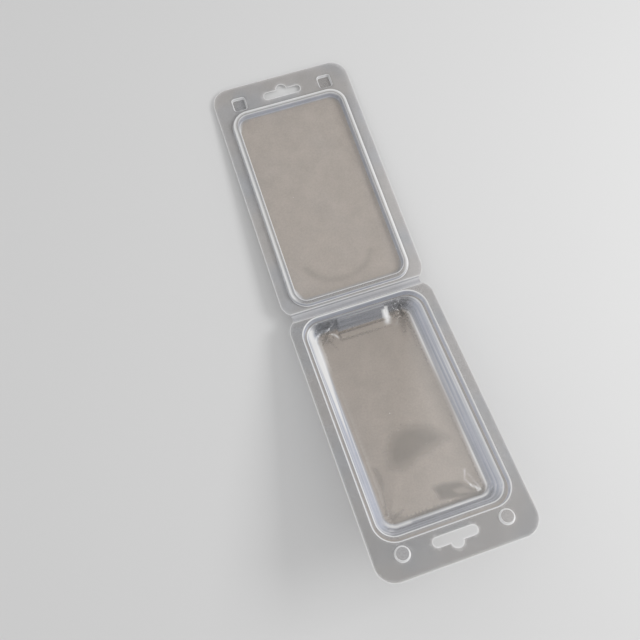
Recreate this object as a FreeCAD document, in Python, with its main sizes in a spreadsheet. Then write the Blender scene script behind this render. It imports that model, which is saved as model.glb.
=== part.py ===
"""Open plastic clamshell pack: one thin formed sheet with a tray, a folding strip and a lid.

Every shape is drawn in the pack's own flat frame: X runs across, Y along, Z up, with the origin
on the fold in the middle of the strip and Z = 0 on the upper face of the flange. The tray lies
towards -Y and the lid towards +Y. Placements then lay the pack on the table as it rests by
itself, on the heel of the tray and on the two sockets at the far end of the raised lid.
"""
import FreeCAD, Part

import math
import os

import Sketcher

SHEET_CELLS = [
    ("sheet", 0.45, "thickness of the plastic"),
    ("flange_width", 110.0, "width of both flanges"),
    ("half_length", 191.5, "length of each half from its crease to its end"),
    ("strip_width", 6.3, "width of the folding strip between the creases"),
    ("strip_length", 99.2, "length of the folding strip across the pack"),
    ("strip_dip", 1.6, "depth of the trough in the strip"),
    ("strip_side", 1.2, "width of each sloping side of the trough"),
    ("end_radius", 13.5, "corner radius at the far ends of the flanges"),
    ("heel_radius", 12.0, "corner radius beside the strip"),
    ("heel_reach", 9.35, "distance from the crease to the centre of that radius"),
    ("closing_gap", 0.3, "gap between the flanges when the lid is shut"),
    ("lid_rise", 12.9, "degrees that the lid stands above the tray's flange at rest"),
    ("rebate_width", 94.0, "width of the step that takes the lid's bead"),
    ("rebate_heel", 1.5, "flange left between the crease and the step"),
    ("rebate_toe", 23.3, "flange left between the step and the far end"),
    ("rebate_radius", 14.5, "corner radius of the step"),
    ("rebate_depth", 5.0, "depth of the step"),
    ("rebate_lean", 0.8, "how far the step's wall leans in"),
    ("ledge_side", 2.3, "width of the ledge at the sides"),
    ("ledge_toe", 3.3, "width of the ledge at the far end"),
    ("ledge_heel", 1.2, "width of the ledge beside the strip"),
    ("well_depth", 16.0, "depth of the floor below the flange"),
    ("well_radius", 12.0, "corner radius at the top of the well"),
    ("floor_radius", 8.0, "corner radius at the foot of the well"),
    ("side_lean", 6.9, "how far the side walls lean in"),
    ("toe_lean", 8.7, "how far the far end wall leans in"),
    ("heel_lean", 2.2, "how far the wall beside the strip leans in"),
    ("foot_blend", 5.0, "radius between the walls and the floor"),
    ("rim_blend", 0.9, "radius of the bends at the rims"),
    ("ramp_width", 36.0, "width of the ramp at its top"),
    ("ramp_spread", 1.5, "how much wider the ramp is on each side at its foot"),
    ("ramp_drop", 1.0, "depth of the ramp's top below the ledge"),
    ("ramp_step", 0.7, "how far the ramp's top stands in from the rim of the wall"),
    ("ramp_run", 6.1, "how far the ramp's face slopes into the well"),
    ("ramp_radius", 2.0, "radius of the ramp's upright corners"),
    ("sill_run", 6.8, "length of the low sill at the ramp's foot"),
    ("sill_height", 0.9, "height of that sill"),
    ("crown_border", 6.0, "border left between the foot of the walls and the crown"),
    ("crown_heel", 24.0, "distance from the fold to the crown"),
    ("crown_height", 1.1, "rise of the floor's middle"),
    ("crown_slope", 12.0, "width of the crown's sloping sides"),
    ("crown_run", 24.0, "length of the crown's sloping ends"),
    ("crown_radius", 5.0, "corner radius of the crown"),
    ("stud_spacing", 70.4, "distance between the two snap studs"),
    ("stud_setback", 15.5, "distance of studs and sockets from the end"),
    ("stud_radius", 4.9, "radius of a stud at its foot"),
    ("stud_lean", 0.55, "how much narrower a stud is at its top"),
    ("stud_height", 1.9, "height of a stud"),
    ("socket_width", 10.5, "width of a socket across the pack"),
    ("socket_length", 10.8, "length of a socket along the pack"),
    ("socket_radius", 2.2, "corner radius of a socket"),
    ("socket_lean", 0.4, "how far a socket's walls lean in"),
    ("socket_depth", 2.2, "depth of a socket"),
    ("slot_length", 29.8, "length of the hang slot"),
    ("slot_width", 6.0, "width of the hang slot"),
    ("slot_radius", 2.8, "radius at the hang slot's ends"),
    ("slot_setback", 15.05, "distance of the slot's middle from the end"),
    ("notch_radius", 4.0, "radius of the round notch in the slot"),
    ("notch_shift", 3.2, "distance of the notch's centre from the slot's middle"),
    ("bead_gap", 0.7, "space left between the bead and the tray's step"),
    ("bead_radius", 13.5, "corner radius outside the bead"),
    ("bead_height", 3.3, "height of the bead above the flange"),
    ("bead_lean", 0.5, "how far the bead's outer wall leans in"),
    ("bead_width", 3.5, "width of the bead's flat top"),
    ("panel_radius", 9.8, "corner radius inside the bead"),
    ("panel_depth", 1.7, "depth of the lid's panel behind the flange"),
    ("panel_lean", 0.85, "how far the panel's wall leans in"),
]
TRAY_SIDE, LID_SIDE = -1, 1
NEAR = 0.02


class Size:
    """A size that knows both its number and its formula in the sheet of sizes."""

    def __init__(self, value, text):
        self.value = value
        self.text = text

    @staticmethod
    def of(other):
        return other if isinstance(other, Size) else Size(float(other), f"{other}")

    def join(self, sign, other, value):
        return Size(value, f"({self.text} {sign} {other.text})")

    def __add__(self, other):
        other = Size.of(other)
        return self.join("+", other, self.value + other.value)

    def __sub__(self, other):
        other = Size.of(other)
        return self.join("-", other, self.value - other.value)

    def __mul__(self, other):
        other = Size.of(other)
        return self.join("*", other, self.value * other.value)

    def __truediv__(self, other):
        other = Size.of(other)
        return self.join("/", other, self.value / other.value)

    def __neg__(self):
        return Size(-self.value, f"(0 - {self.text})")

    def root(self):
        return Size(math.sqrt(self.value), f"sqrt({self.text})")

    def sine(self):
        return Size(math.sin(math.radians(self.value)), f"sin({self.text} * 1deg)")

    def cosine(self):
        return Size(math.cos(math.radians(self.value)), f"cos({self.text} * 1deg)")


ZERO = Size(0.0, "0")


def make_sizes(doc):
    """The sheet of driving sizes, and the same sizes by name for building formulas."""
    cells = doc.addObject("Spreadsheet::Sheet", "Sizes")
    for row, (alias, value, meaning) in enumerate(SHEET_CELLS, start=1):
        cells.set(f"A{row}", alias.replace("_", " "))
        cells.set(f"B{row}", str(value))
        cells.set(f"C{row}", meaning)
        cells.setAlias(f"B{row}", alias)
    doc.recompute()
    return {alias: Size(float(cells.get(alias)), f"Sizes.{alias}") for alias, _, _ in SHEET_CELLS}


def bind(obj, name, size):
    """Ties a property of an object to a size."""
    obj.setExpression(name, size.text)


def flat_sketch(body, name, height, role="XY_Plane"):
    """An empty sketch parallel to one of the body's own planes, at a height above it."""
    sketch = body.newObject("Sketcher::SketchObject", name)
    plane = next(entry for entry in body.Origin.OriginFeatures if entry.Role == role)
    sketch.AttachmentSupport = [(plane, "")]
    sketch.MapMode = "FlatFace"
    bind(sketch, "AttachmentOffset.Base.z", height)
    return sketch


def dimension(sketch, kind, parts, size):
    """Adds a driving dimension and ties it to the sheet."""
    index = sketch.addConstraint(Sketcher.Constraint(kind, *parts, size.value))
    sketch.setExpression(f"Constraints[{index}]", size.text)


def from_origin(sketch, kind, point, size):
    """Fixes a point's distance from the origin; dimensions keep positive values."""
    if size.value >= 0:
        dimension(sketch, kind, (-1, 1, *point), size)
    else:
        dimension(sketch, kind, (*point, -1, 1), -size)


class Plan:
    """A rounded rectangle seen from above; heel and toe are its distances from the fold."""

    def __init__(self, half_width, heel, toe, radius, middle=ZERO, square_heel=False):
        self.half_width = half_width
        self.heel = heel
        self.toe = toe
        self.radius = radius
        self.middle = middle
        self.square_heel = square_heel

    def inset(self, side, heel, toe, radius=None):
        """The same plan with its sides, heel and toe moved inwards and its corners made tighter."""
        return Plan(
            self.half_width - side,
            self.heel + heel,
            self.toe - toe,
            self.radius - (side if radius is None else radius),
            self.middle,
            self.square_heel,
        )

    def limits(self, flip):
        """Number values of the left, right, low and high sides."""
        low, high = sorted((flip * self.heel.value, flip * self.toe.value))
        middle, half = self.middle.value, self.half_width.value
        return middle - half, middle + half, low, high

    def is_outline(self, x, y, flip):
        """Whether a point lies on the outline."""
        left, right, low, high = self.limits(flip)
        bend = self.radius.value
        in_x = min(x - left, right - x)
        in_y = min(y - low, high - y)
        if in_x < bend and in_y < bend:
            return abs(math.hypot(bend - in_x, bend - in_y) - bend) < NEAR
        return abs(min(in_x, in_y)) < NEAR

    def draw(self, body, name, height, flip):
        """A sketch of the plan; flip mirrors it towards the tray or the lid."""
        sketch = flat_sketch(body, name, height)
        left, right, low, high = self.limits(flip)
        bend = self.radius.value
        heel_bend = 0.0 if self.square_heel else bend
        low_bend, high_bend = (bend, heel_bend) if flip < 0 else (heel_bend, bend)
        point = FreeCAD.Vector
        bottom = ((left + low_bend, low), (right - low_bend, low))
        rising = ((right, low + low_bend), (right, high - high_bend))
        top = ((right - high_bend, high), (left + high_bend, high))
        falling = ((left, high - high_bend), (left, low + low_bend))
        corners = [
            (right - low_bend, low + low_bend, low_bend, -90),
            (right - high_bend, high - high_bend, high_bend, 0),
            (left + high_bend, high - high_bend, high_bend, 90),
            (left + low_bend, low + low_bend, low_bend, 180),
        ]
        lines, arcs = [], []
        for start, end in (bottom, rising, top, falling):
            lines.append(sketch.addGeometry(Part.LineSegment(point(*start, 0), point(*end, 0))))
        for x, y, corner_bend, turn in corners:
            if corner_bend:
                circle = Part.Circle(point(x, y, 0), point(0, 0, 1), corner_bend)
                first, last = math.radians(turn), math.radians(turn + 90)
                arcs.append(sketch.addGeometry(Part.ArcOfCircle(circle, first, last)))
            else:
                arcs.append(None)
        for line, arc, following in zip(lines, arcs, lines[1:] + lines[:1]):
            if arc is None:
                sketch.addConstraint(Sketcher.Constraint("Coincident", line, 2, following, 1))
            else:
                sketch.addConstraint(Sketcher.Constraint("Tangent", line, 2, arc, 1))
                sketch.addConstraint(Sketcher.Constraint("Tangent", arc, 2, following, 1))
        for line, rule in zip(lines, ("Horizontal", "Vertical") * 2):
            sketch.addConstraint(Sketcher.Constraint(rule, line))
        real_arcs = [arc for arc in arcs if arc is not None]
        for arc in real_arcs[1:]:
            sketch.addConstraint(Sketcher.Constraint("Equal", real_arcs[0], arc))
        dimension(sketch, "Radius", (real_arcs[0],), self.radius)
        from_origin(sketch, "DistanceX", (lines[1], 1), self.middle + self.half_width)
        from_origin(sketch, "DistanceX", (lines[3], 1), self.middle - self.half_width)
        ends = (self.heel, self.toe) if flip > 0 else (-self.toe, -self.heel)
        from_origin(sketch, "DistanceY", (lines[0], 1), ends[0])
        from_origin(sketch, "DistanceY", (lines[2], 1), ends[1])
        return sketch


def under_levels(levels, sheet, sunk):
    """The levels of the sheet's lower face under a form: outwards if it is sunk, else inwards."""
    (first_height, first), (last_height, last) = levels
    rise = last_height - first_height
    ways = (
        (first.half_width - last.half_width) / rise,
        (last.heel - first.heel) / rise,
        (first.toe - last.toe) / rise,
    )
    side, heel, toe = (sheet * (((slope * slope) + 1).root() - slope * sunk_sign(slope)) for slope in ways)
    if sunk:
        side, heel, toe = -side, -heel, -toe
    return [
        (first_height - sheet, first.inset(side, heel, toe)),
        (last_height - sheet, last.inset(side, heel, toe)),
    ]


def sunk_sign(slope):
    """The way in which a wall leans."""
    return 1 if slope.value >= 0 else -1


def loft(body, kind, name, flip, levels):
    """A straight-sided form between plans at two heights; kind is Additive or Subtractive."""
    sketches = [
        plan.draw(body, f"{name}_plan_{step}", height, flip)
        for step, (height, plan) in enumerate(levels, start=1)
    ]
    form = body.newObject(f"PartDesign::{kind}Loft", name)
    form.Profile = sketches[0]
    form.Sections = [sketches[1]]
    form.Ruled = True
    return form


def is_on_loop(edge, level, flip):
    """Whether an edge lies level on the outline of a plan, all along."""
    height, plan = level
    first, last = edge.ParameterRange
    points = [edge.valueAt(first + (last - first) * step / 4) for step in range(5)]
    level_too = all(abs(point.z - height.value) < NEAR for point in points)
    return level_too and all(plan.is_outline(point.x, point.y, flip) for point in points)


def round_loop(body, name, radius, level, flip):
    """Rounds the bend where a level face meets a wall, all the way round a plan."""
    body.Document.recompute()
    base = body.Tip
    edges = [
        f"Edge{number}"
        for number, edge in enumerate(base.Shape.Edges, start=1)
        if is_on_loop(edge, level, flip)
    ]
    if not edges:
        raise RuntimeError(f"{name}: no edge found to round")
    rounding = body.newObject("PartDesign::Fillet", name)
    rounding.Base = (base, edges)
    bind(rounding, "Radius", radius)
    return rounding


def flange(body, sizes, flip):
    """The flat flange outline, padded to the thickness of the sheet."""
    sheet, crease = sizes["sheet"], sizes["strip_width"] / 2
    half, heel_reach = sizes["flange_width"] / 2, sizes["heel_reach"]
    heel_radius, end_radius = sizes["heel_radius"], sizes["end_radius"]
    far = crease + sizes["half_length"]
    sketch = flat_sketch(body, "flange_outline", -sheet)
    point = FreeCAD.Vector
    neck = half.value - heel_radius.value + math.sqrt(heel_radius.value**2 - heel_reach.value**2)
    lines, arcs = {}, {}

    def line(key, *ends):
        (x1, y1), (x2, y2) = ends
        lines[key] = sketch.addGeometry(Part.LineSegment(point(x1, flip * y1, 0), point(x2, flip * y2, 0)))

    def arc(key, x, y, radius, start, end):
        turns = [math.atan2(flip * (py - y), px - x) for px, py in (start, end)]
        if turns[1] < turns[0]:
            turns[1] += 2 * math.pi
        circle = Part.Circle(point(x, flip * y, 0), point(0, 0, 1), radius)
        arcs[key] = sketch.addGeometry(Part.ArcOfCircle(circle, *turns))

    wide, near, end = half.value, crease.value, far.value
    shoulder, hip = near + heel_reach.value, end - end_radius.value
    for side, key in ((1, "right"), (-1, "left")):
        neck_point, shoulder_point = (side * neck, near), (side * wide, shoulder)
        hip_point, foot_point = (side * wide, hip), (side * (wide - end_radius.value), end)
        heel_ends, toe_ends = (neck_point, shoulder_point), (hip_point, foot_point)
        if side * flip < 0:
            heel_ends, toe_ends = heel_ends[::-1], toe_ends[::-1]
        line(key, shoulder_point, hip_point)
        arc(f"{key}_heel", side * (wide - heel_radius.value), shoulder, heel_radius.value, *heel_ends)
        arc(f"{key}_toe", side * (wide - end_radius.value), hip, end_radius.value, *toe_ends)
    line("crease", (-neck, near), (neck, near))
    line("end", (-(wide - end_radius.value), end), (wide - end_radius.value, end))

    def join(rule, first, second):
        sketch.addConstraint(Sketcher.Constraint(rule, *first, *second))

    for side, key, crease_end in ((1, "right", 2), (-1, "left", 1)):
        heel_first, toe_first = (1, 1) if side * flip > 0 else (2, 2)
        heel_last, toe_last = 3 - heel_first, 3 - toe_first
        join("Coincident", (lines["crease"], crease_end), (arcs[f"{key}_heel"], heel_first))
        join("Tangent", (arcs[f"{key}_heel"], heel_last), (lines[key], 1))
        join("Tangent", (lines[key], 2), (arcs[f"{key}_toe"], toe_first))
        join("Tangent", (arcs[f"{key}_toe"], toe_last), (lines["end"], crease_end))
        sketch.addConstraint(Sketcher.Constraint("Vertical", lines[key]))
        from_origin(sketch, "DistanceX", (lines[key], 1), half if side > 0 else -half)
        middle = crease + heel_reach if flip > 0 else -(crease + heel_reach)
        from_origin(sketch, "DistanceY", (arcs[f"{key}_heel"], 3), middle)
    for key in ("crease", "end"):
        sketch.addConstraint(Sketcher.Constraint("Horizontal", lines[key]))
    for kind, radius in (("heel", heel_radius), ("toe", end_radius)):
        sketch.addConstraint(Sketcher.Constraint("Equal", arcs[f"right_{kind}"], arcs[f"left_{kind}"]))
        dimension(sketch, "Radius", (arcs[f"right_{kind}"],), radius)
    from_origin(sketch, "DistanceY", (lines["crease"], 1), crease if flip > 0 else -crease)
    from_origin(sketch, "DistanceY", (lines["end"], 1), far if flip > 0 else -far)
    plate = body.newObject("PartDesign::Pad", "flange")
    plate.Profile = sketch
    bind(plate, "Length", sheet)
    return plate


def hang_slot(body, sizes, flip):
    """The hang slot with its round notch towards the end of the flange."""
    middle = sizes["strip_width"] / 2 + sizes["half_length"] - sizes["slot_setback"]
    half_width = sizes["slot_width"] / 2
    outline = Plan(sizes["slot_length"] / 2, middle - half_width, middle + half_width, sizes["slot_radius"])
    notch_centre = middle + sizes["notch_shift"]
    round_notch = flat_sketch(body, "notch_outline", ZERO)
    centre = FreeCAD.Vector(0, flip * notch_centre.value, 0)
    circle = Part.Circle(centre, FreeCAD.Vector(0, 0, 1), sizes["notch_radius"].value)
    index = round_notch.addGeometry(circle)
    dimension(round_notch, "Radius", (index,), sizes["notch_radius"])
    round_notch.addConstraint(Sketcher.Constraint("PointOnObject", index, 3, -2))
    from_origin(round_notch, "DistanceY", (index, 3), notch_centre if flip > 0 else -notch_centre)
    for name, sketch in (("slot", outline.draw(body, "slot_outline", ZERO, flip)), ("notch", round_notch)):
        opening = body.newObject("PartDesign::Pocket", name)
        opening.Profile = sketch
        opening.Type = "ThroughAll"
        opening.Midplane = True


def cone(body, kind, name, x, y, height, foot, top, rise):
    """An upright cone frustum in a body; kind is Additive or Subtractive."""
    shape = body.newObject(f"PartDesign::{kind}Cone", name)
    plane = next(entry for entry in body.Origin.OriginFeatures if entry.Role == "XY_Plane")
    shape.AttachmentSupport = [(plane, "")]
    shape.MapMode = "FlatFace"
    for axis, size in (("x", x), ("y", y), ("z", height)):
        bind(shape, f"AttachmentOffset.Base.{axis}", size)
    for prop, size in (("Radius1", foot), ("Radius2", top), ("Height", rise)):
        bind(shape, prop, size)
    return shape


def well_levels(sizes):
    """Plans of the tray's step and well, each as the rim and the foot of its inner face."""
    crease = sizes["strip_width"] / 2
    far = crease + sizes["half_length"]
    lean = sizes["rebate_lean"]
    rim = Plan(
        sizes["rebate_width"] / 2,
        crease + sizes["rebate_heel"],
        far - sizes["rebate_toe"],
        sizes["rebate_radius"],
    )
    ledge = rim.inset(lean, lean, lean)
    mouth = ledge.inset(
        sizes["ledge_side"],
        sizes["ledge_heel"],
        sizes["ledge_toe"],
        sizes["rebate_radius"] - lean - sizes["well_radius"],
    )
    floor = mouth.inset(
        sizes["side_lean"],
        sizes["heel_lean"],
        sizes["toe_lean"],
        sizes["well_radius"] - sizes["floor_radius"],
    )
    step = [(ZERO, rim), (-sizes["rebate_depth"], ledge)]
    well = [(-sizes["rebate_depth"], mouth), (-sizes["well_depth"], floor)]
    return step, well


def ramp(body, sizes, well):
    """The hollow ramp in the middle of the wall beside the strip, with the low sill at its foot."""
    sheet, radius = sizes["sheet"], sizes["ramp_radius"]
    (mouth_height, mouth), (floor_height, floor) = well
    top_half, front = sizes["ramp_width"] / 2, mouth.heel + sizes["ramp_step"]
    foot_half, foot_front = top_half + sizes["ramp_spread"], front + sizes["ramp_run"]
    top_height = mouth_height - sizes["ramp_drop"]

    def block(heel_shift):
        return [
            (floor_height, Plan(foot_half, floor.heel - heel_shift, foot_front, radius, square_heel=True)),
            (top_height, Plan(top_half, mouth.heel - heel_shift, front, radius, square_heel=True)),
        ]

    def sill(heel_shift):
        lean = sizes["sill_height"] / 2
        toe = foot_front + sizes["sill_run"]
        foot = Plan(foot_half, foot_front - heel_shift, toe, radius, square_heel=True)
        top = foot.inset(lean, ZERO, lean)
        return [(floor_height, foot), (floor_height + sizes["sill_height"], top)]

    loft(body, "Additive", "ramp_block", TRAY_SIDE, block(sheet / 4))
    trim_heel(body, sizes, under_levels(well, sheet, True)[1], foot_half)
    loft(body, "Additive", "sill_block", TRAY_SIDE, sill(sheet))
    loft(body, "Subtractive", "ramp_hollow", TRAY_SIDE, under_levels(block(sheet * 3), sheet, False))
    loft(body, "Subtractive", "sill_hollow", TRAY_SIDE, under_levels(sill(sheet * 4), sheet, False))


def heel_arc(sizes, foot_level):
    """Tangent points on wall and floor, and centre, of the bend under the wall beside the strip."""
    height, foot = foot_level
    radius = sizes["foot_blend"] + sizes["sheet"]
    slope = sizes["heel_lean"] / (sizes["well_depth"] - sizes["rebate_depth"])
    secant = (slope * slope + 1).root()
    reach = radius * (secant - slope)
    wall = (-(foot.heel - reach * slope / secant), height + reach / secant)
    ground = (-(foot.heel + reach), height)
    return radius, wall, ground, (ground[0], height + radius)


def trim_heel(body, sizes, foot_level, half_width):
    """Cuts the back of the ramp flush with the bend under the wall beside the strip."""
    radius, wall, ground, centre = heel_arc(sizes, foot_level)
    sketch = flat_sketch(body, "heel_section", ZERO, "YZ_Plane")
    margin = sizes["sheet"] * 2
    outer = (-(foot_level[1].heel - margin * 2), foot_level[0] - margin)
    corners = [wall, (outer[0], wall[1]), outer, (ground[0], outer[1]), ground]
    ends = list(zip(corners, corners[1:]))
    point = FreeCAD.Vector
    lines = [
        sketch.addGeometry(
            Part.LineSegment(point(y1.value, z1.value, 0), point(y2.value, z2.value, 0))
        )
        for (y1, z1), (y2, z2) in ends
    ]
    circle = Part.Circle(point(centre[0].value, centre[1].value, 0), point(0, 0, 1), radius.value)
    turns = [math.atan2(z.value - centre[1].value, y.value - centre[0].value) for y, z in (ground, wall)]
    if turns[1] < turns[0]:
        turns[1] += 2 * math.pi
    bend = sketch.addGeometry(Part.ArcOfCircle(circle, *turns))
    for line, following in zip(lines, lines[1:]):
        sketch.addConstraint(Sketcher.Constraint("Coincident", line, 2, following, 1))
    sketch.addConstraint(Sketcher.Constraint("Coincident", lines[-1], 2, bend, 1))
    sketch.addConstraint(Sketcher.Constraint("Coincident", bend, 2, lines[0], 1))
    for line, (y, z) in zip(lines + [None], corners):
        vertex = (lines[-1], 2) if line is None else (line, 1)
        from_origin(sketch, "DistanceX", vertex, y)
        from_origin(sketch, "DistanceY", vertex, z)
    dimension(sketch, "Radius", (bend,), radius)
    trim = body.newObject("PartDesign::Pocket", "heel_trim")
    trim.Profile = sketch
    trim.Midplane = True
    bind(trim, "Length", half_width * 2 + margin)
    return trim


def crown(body, sizes, floor_level):
    """The raised middle of the floor, so that the pack stands on a border all round it."""
    height, floor = floor_level
    border = sizes["crown_border"]
    foot = Plan(
        floor.half_width - border, sizes["crown_heel"], floor.toe - border, sizes["crown_radius"]
    )
    top = foot.inset(sizes["crown_slope"], sizes["crown_run"], sizes["crown_run"], ZERO)
    levels = [(height, foot), (height + sizes["crown_height"], top)]
    loft(body, "Additive", "crown", TRAY_SIDE, levels)
    loft(body, "Subtractive", "crown_hollow", TRAY_SIDE, under_levels(levels, sizes["sheet"], False))


def studs(body, sizes):
    """The two round hollow studs that the lid's sockets snap over."""
    sheet, foot = sizes["sheet"], sizes["stud_radius"]
    top, rise = foot - sizes["stud_lean"], sizes["stud_height"]
    slope = sizes["stud_lean"] / rise
    skin = sheet * ((slope * slope + 1).root() - slope)
    y = -(sizes["strip_width"] / 2 + sizes["half_length"] - sizes["stud_setback"])
    for side, word in ((1, "right"), (-1, "left")):
        x = sizes["stud_spacing"] / 2 * side
        cone(body, "Additive", f"stud_{word}", x, y, ZERO, foot, top, rise)
        cone(body, "Subtractive", f"stud_{word}_hollow", x, y, -sheet, foot - skin, top - skin, rise)


def build_tray(doc, sizes):
    """The tray: flange, step, well, ramp, crowned floor, studs and hang slot."""
    body = doc.addObject("PartDesign::Body", "Tray")
    body.Label = "tray"
    doc.recompute()
    sheet, rim_blend, foot_blend = sizes["sheet"], sizes["rim_blend"], sizes["foot_blend"]
    flip = TRAY_SIDE
    flange(body, sizes, flip)
    step, well = well_levels(sizes)
    step_under = under_levels(step, sheet, True)
    well_under = under_levels(well, sheet, True)
    loft(body, "Additive", "step_skin", flip, step_under)
    loft(body, "Additive", "well_skin", flip, well_under)
    loft(body, "Subtractive", "step_hollow", flip, step)
    loft(body, "Subtractive", "well_hollow", flip, well)
    bends = (
        ("well_foot", foot_blend, well[1]),
        ("well_foot_under", foot_blend + sheet, well_under[1]),
        ("step_rim_under", rim_blend - sheet, step_under[0]),
        ("step_rim", rim_blend, step[0]),
        ("well_rim_under", rim_blend - sheet, well_under[0]),
        ("well_rim", rim_blend, well[0]),
        ("step_foot", rim_blend - sheet, step[1]),
        ("step_foot_under", rim_blend, step_under[1]),
    )
    for name, radius, level in bends:
        round_loop(body, name, radius, level, flip)
    ramp(body, sizes, well)
    crown(body, sizes, well[1])
    studs(body, sizes)
    hang_slot(body, sizes, flip)
    return body


def socket_levels(sizes, side):
    """Plans of one of the lid's two sockets."""
    middle = sizes["strip_width"] / 2 + sizes["half_length"] - sizes["stud_setback"]
    half_length, lean = sizes["socket_length"] / 2, sizes["socket_lean"]
    mouth = Plan(
        sizes["socket_width"] / 2,
        middle - half_length,
        middle + half_length,
        sizes["socket_radius"],
        sizes["stud_spacing"] / 2 * side,
    )
    return [(ZERO, mouth), (-sizes["socket_depth"], mouth.inset(lean, lean, lean))]


def build_lid(doc, sizes):
    """The lid: flange, bead, sunk panel, sockets and hang slot."""
    body = doc.addObject("PartDesign::Body", "Lid")
    body.Label = "lid"
    doc.recompute()
    sheet, rim_blend, flip = sizes["sheet"], sizes["rim_blend"], LID_SIDE
    flange(body, sizes, flip)
    step_rim = well_levels(sizes)[0][0][1]
    gap, lean, width = sizes["bead_gap"], sizes["bead_lean"], sizes["bead_width"]
    bead_foot = step_rim.inset(gap, gap, gap, sizes["rebate_radius"] - sizes["bead_radius"])
    bead_top = bead_foot.inset(lean, lean, lean)
    panel_rim = bead_top.inset(width, width, width, sizes["bead_radius"] - lean - sizes["panel_radius"])
    fall = sizes["panel_lean"]
    bead = [(ZERO, bead_foot), (sizes["bead_height"], bead_top)]
    panel = [
        (sizes["bead_height"], panel_rim),
        (-sizes["panel_depth"], panel_rim.inset(fall, fall, fall)),
    ]
    bead_under = under_levels(bead, sheet, False)
    panel_under = under_levels(panel, sheet, True)
    loft(body, "Additive", "bead", flip, bead)
    loft(body, "Subtractive", "bead_hollow", flip, bead_under)
    loft(body, "Additive", "panel_skin", flip, panel_under)
    loft(body, "Subtractive", "panel_hollow", flip, panel)
    bends = (
        ("bead_foot_under", rim_blend, bead_under[0]),
        ("bead_foot", rim_blend - sheet, bead[0]),
        ("bead_top_under", rim_blend - sheet, bead_under[1]),
        ("bead_top", rim_blend, bead[1]),
        ("panel_rim_under", rim_blend - sheet, panel_under[0]),
        ("panel_rim", rim_blend, panel[0]),
        ("panel_foot", rim_blend - sheet, panel[1]),
        ("panel_foot_under", rim_blend, panel_under[1]),
    )
    for name, radius, level in bends:
        round_loop(body, name, radius, level, flip)
    for side, word in ((1, "right"), (-1, "left")):
        levels = socket_levels(sizes, side)
        loft(body, "Additive", f"socket_{word}_skin", flip, under_levels(levels, sheet, True))
        loft(body, "Subtractive", f"socket_{word}_hollow", flip, levels)
    hang_slot(body, sizes, flip)
    return body


def build_strip(doc, sizes):
    """The folding strip: a shallow trough whose lid half is turned with the lid."""
    body = doc.addObject("PartDesign::Body", "HingeStrip")
    body.Label = "hinge_strip"
    doc.recompute()
    sheet, dip, side = sizes["sheet"], sizes["strip_dip"], sizes["strip_side"]
    half, pivot, rise = sizes["strip_width"] / 2, sizes["closing_gap"] / 2, sizes["lid_rise"]
    slope = side / dip
    skin = sheet * ((slope * slope + 1).root() - slope)
    edge = sheet * (dip * dip + side * side).root() / side

    def turned(y, z):
        up = z - pivot
        return y * rise.cosine() - up * rise.sine(), pivot + y * rise.sine() + up * rise.cosine()

    upper = [(-half, ZERO), (side - half, -dip), turned(half - side, -dip), turned(half, ZERO)]
    lower = [
        turned(half, -edge),
        turned(half - side + skin, -dip - sheet),
        (side - half - skin, -dip - sheet),
        (-half, -edge),
    ]
    points = upper + lower
    sketch = flat_sketch(body, "strip_section", ZERO, "YZ_Plane")
    ends = list(zip(points, points[1:] + points[:1]))
    lines = [
        sketch.addGeometry(
            Part.LineSegment(
                FreeCAD.Vector(first[0].value, first[1].value, 0),
                FreeCAD.Vector(last[0].value, last[1].value, 0),
            )
        )
        for first, last in ends
    ]
    for line, following in zip(lines, lines[1:] + lines[:1]):
        sketch.addConstraint(Sketcher.Constraint("Coincident", line, 2, following, 1))
    for line, (y, z) in zip(lines, points):
        from_origin(sketch, "DistanceX", (line, 1), y)
        if z is ZERO:
            sketch.addConstraint(Sketcher.Constraint("PointOnObject", line, 1, -1))
        else:
            from_origin(sketch, "DistanceY", (line, 1), z)
    strip = body.newObject("PartDesign::Pad", "strip")
    strip.Profile = sketch
    strip.Midplane = True
    bind(strip, "Length", sizes["strip_length"])
    return body


def rest_angle(sizes):
    """Degrees between the tray's flange and the table when the pack rests on heel and sockets."""
    well_under = under_levels(well_levels(sizes)[1], sizes["sheet"], True)
    radius, _, _, centre = heel_arc(sizes, well_under[1])
    socket_height, socket = under_levels(socket_levels(sizes, 1), sizes["sheet"], True)[1]
    rise, pivot = math.radians(sizes["lid_rise"].value), sizes["closing_gap"].value / 2
    along, up = socket.toe.value, socket_height.value - pivot
    reach_y = along * math.cos(rise) - up * math.sin(rise) - centre[0].value
    reach_z = pivot + along * math.sin(rise) + up * math.cos(rise) - centre[1].value
    bend = math.asin(radius.value / math.hypot(reach_y, reach_z))
    return math.degrees(math.atan2(reach_z, reach_y) + bend)


def lay_to_rest(bodies, sizes):
    """Turns the pack until it rests, with the table at Z = 0 and its middle over the origin."""
    tray, strip, lid = bodies
    across = FreeCAD.Vector(1, 0, 0)
    pivot = FreeCAD.Vector(0, 0, sizes["closing_gap"].value / 2)
    lean = FreeCAD.Placement(FreeCAD.Vector(), FreeCAD.Rotation(across, -rest_angle(sizes)))
    opened = FreeCAD.Placement(FreeCAD.Vector(), FreeCAD.Rotation(across, sizes["lid_rise"].value), pivot)
    boxes = []
    for body, turn in ((tray, lean), (lid, lean.multiply(opened))):
        shape = body.Shape.copy()
        shape.Placement = turn
        boxes.append(shape.optimalBoundingBox(False))
    low, high = min(box.YMin for box in boxes), max(box.YMax for box in boxes)
    shift = FreeCAD.Placement(
        FreeCAD.Vector(0, -(low + high) / 2, -min(box.ZMin for box in boxes)), FreeCAD.Rotation()
    )
    tray.Placement = shift.multiply(lean)
    strip.Placement = shift.multiply(lean)
    lid.Placement = shift.multiply(lean).multiply(opened)


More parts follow.
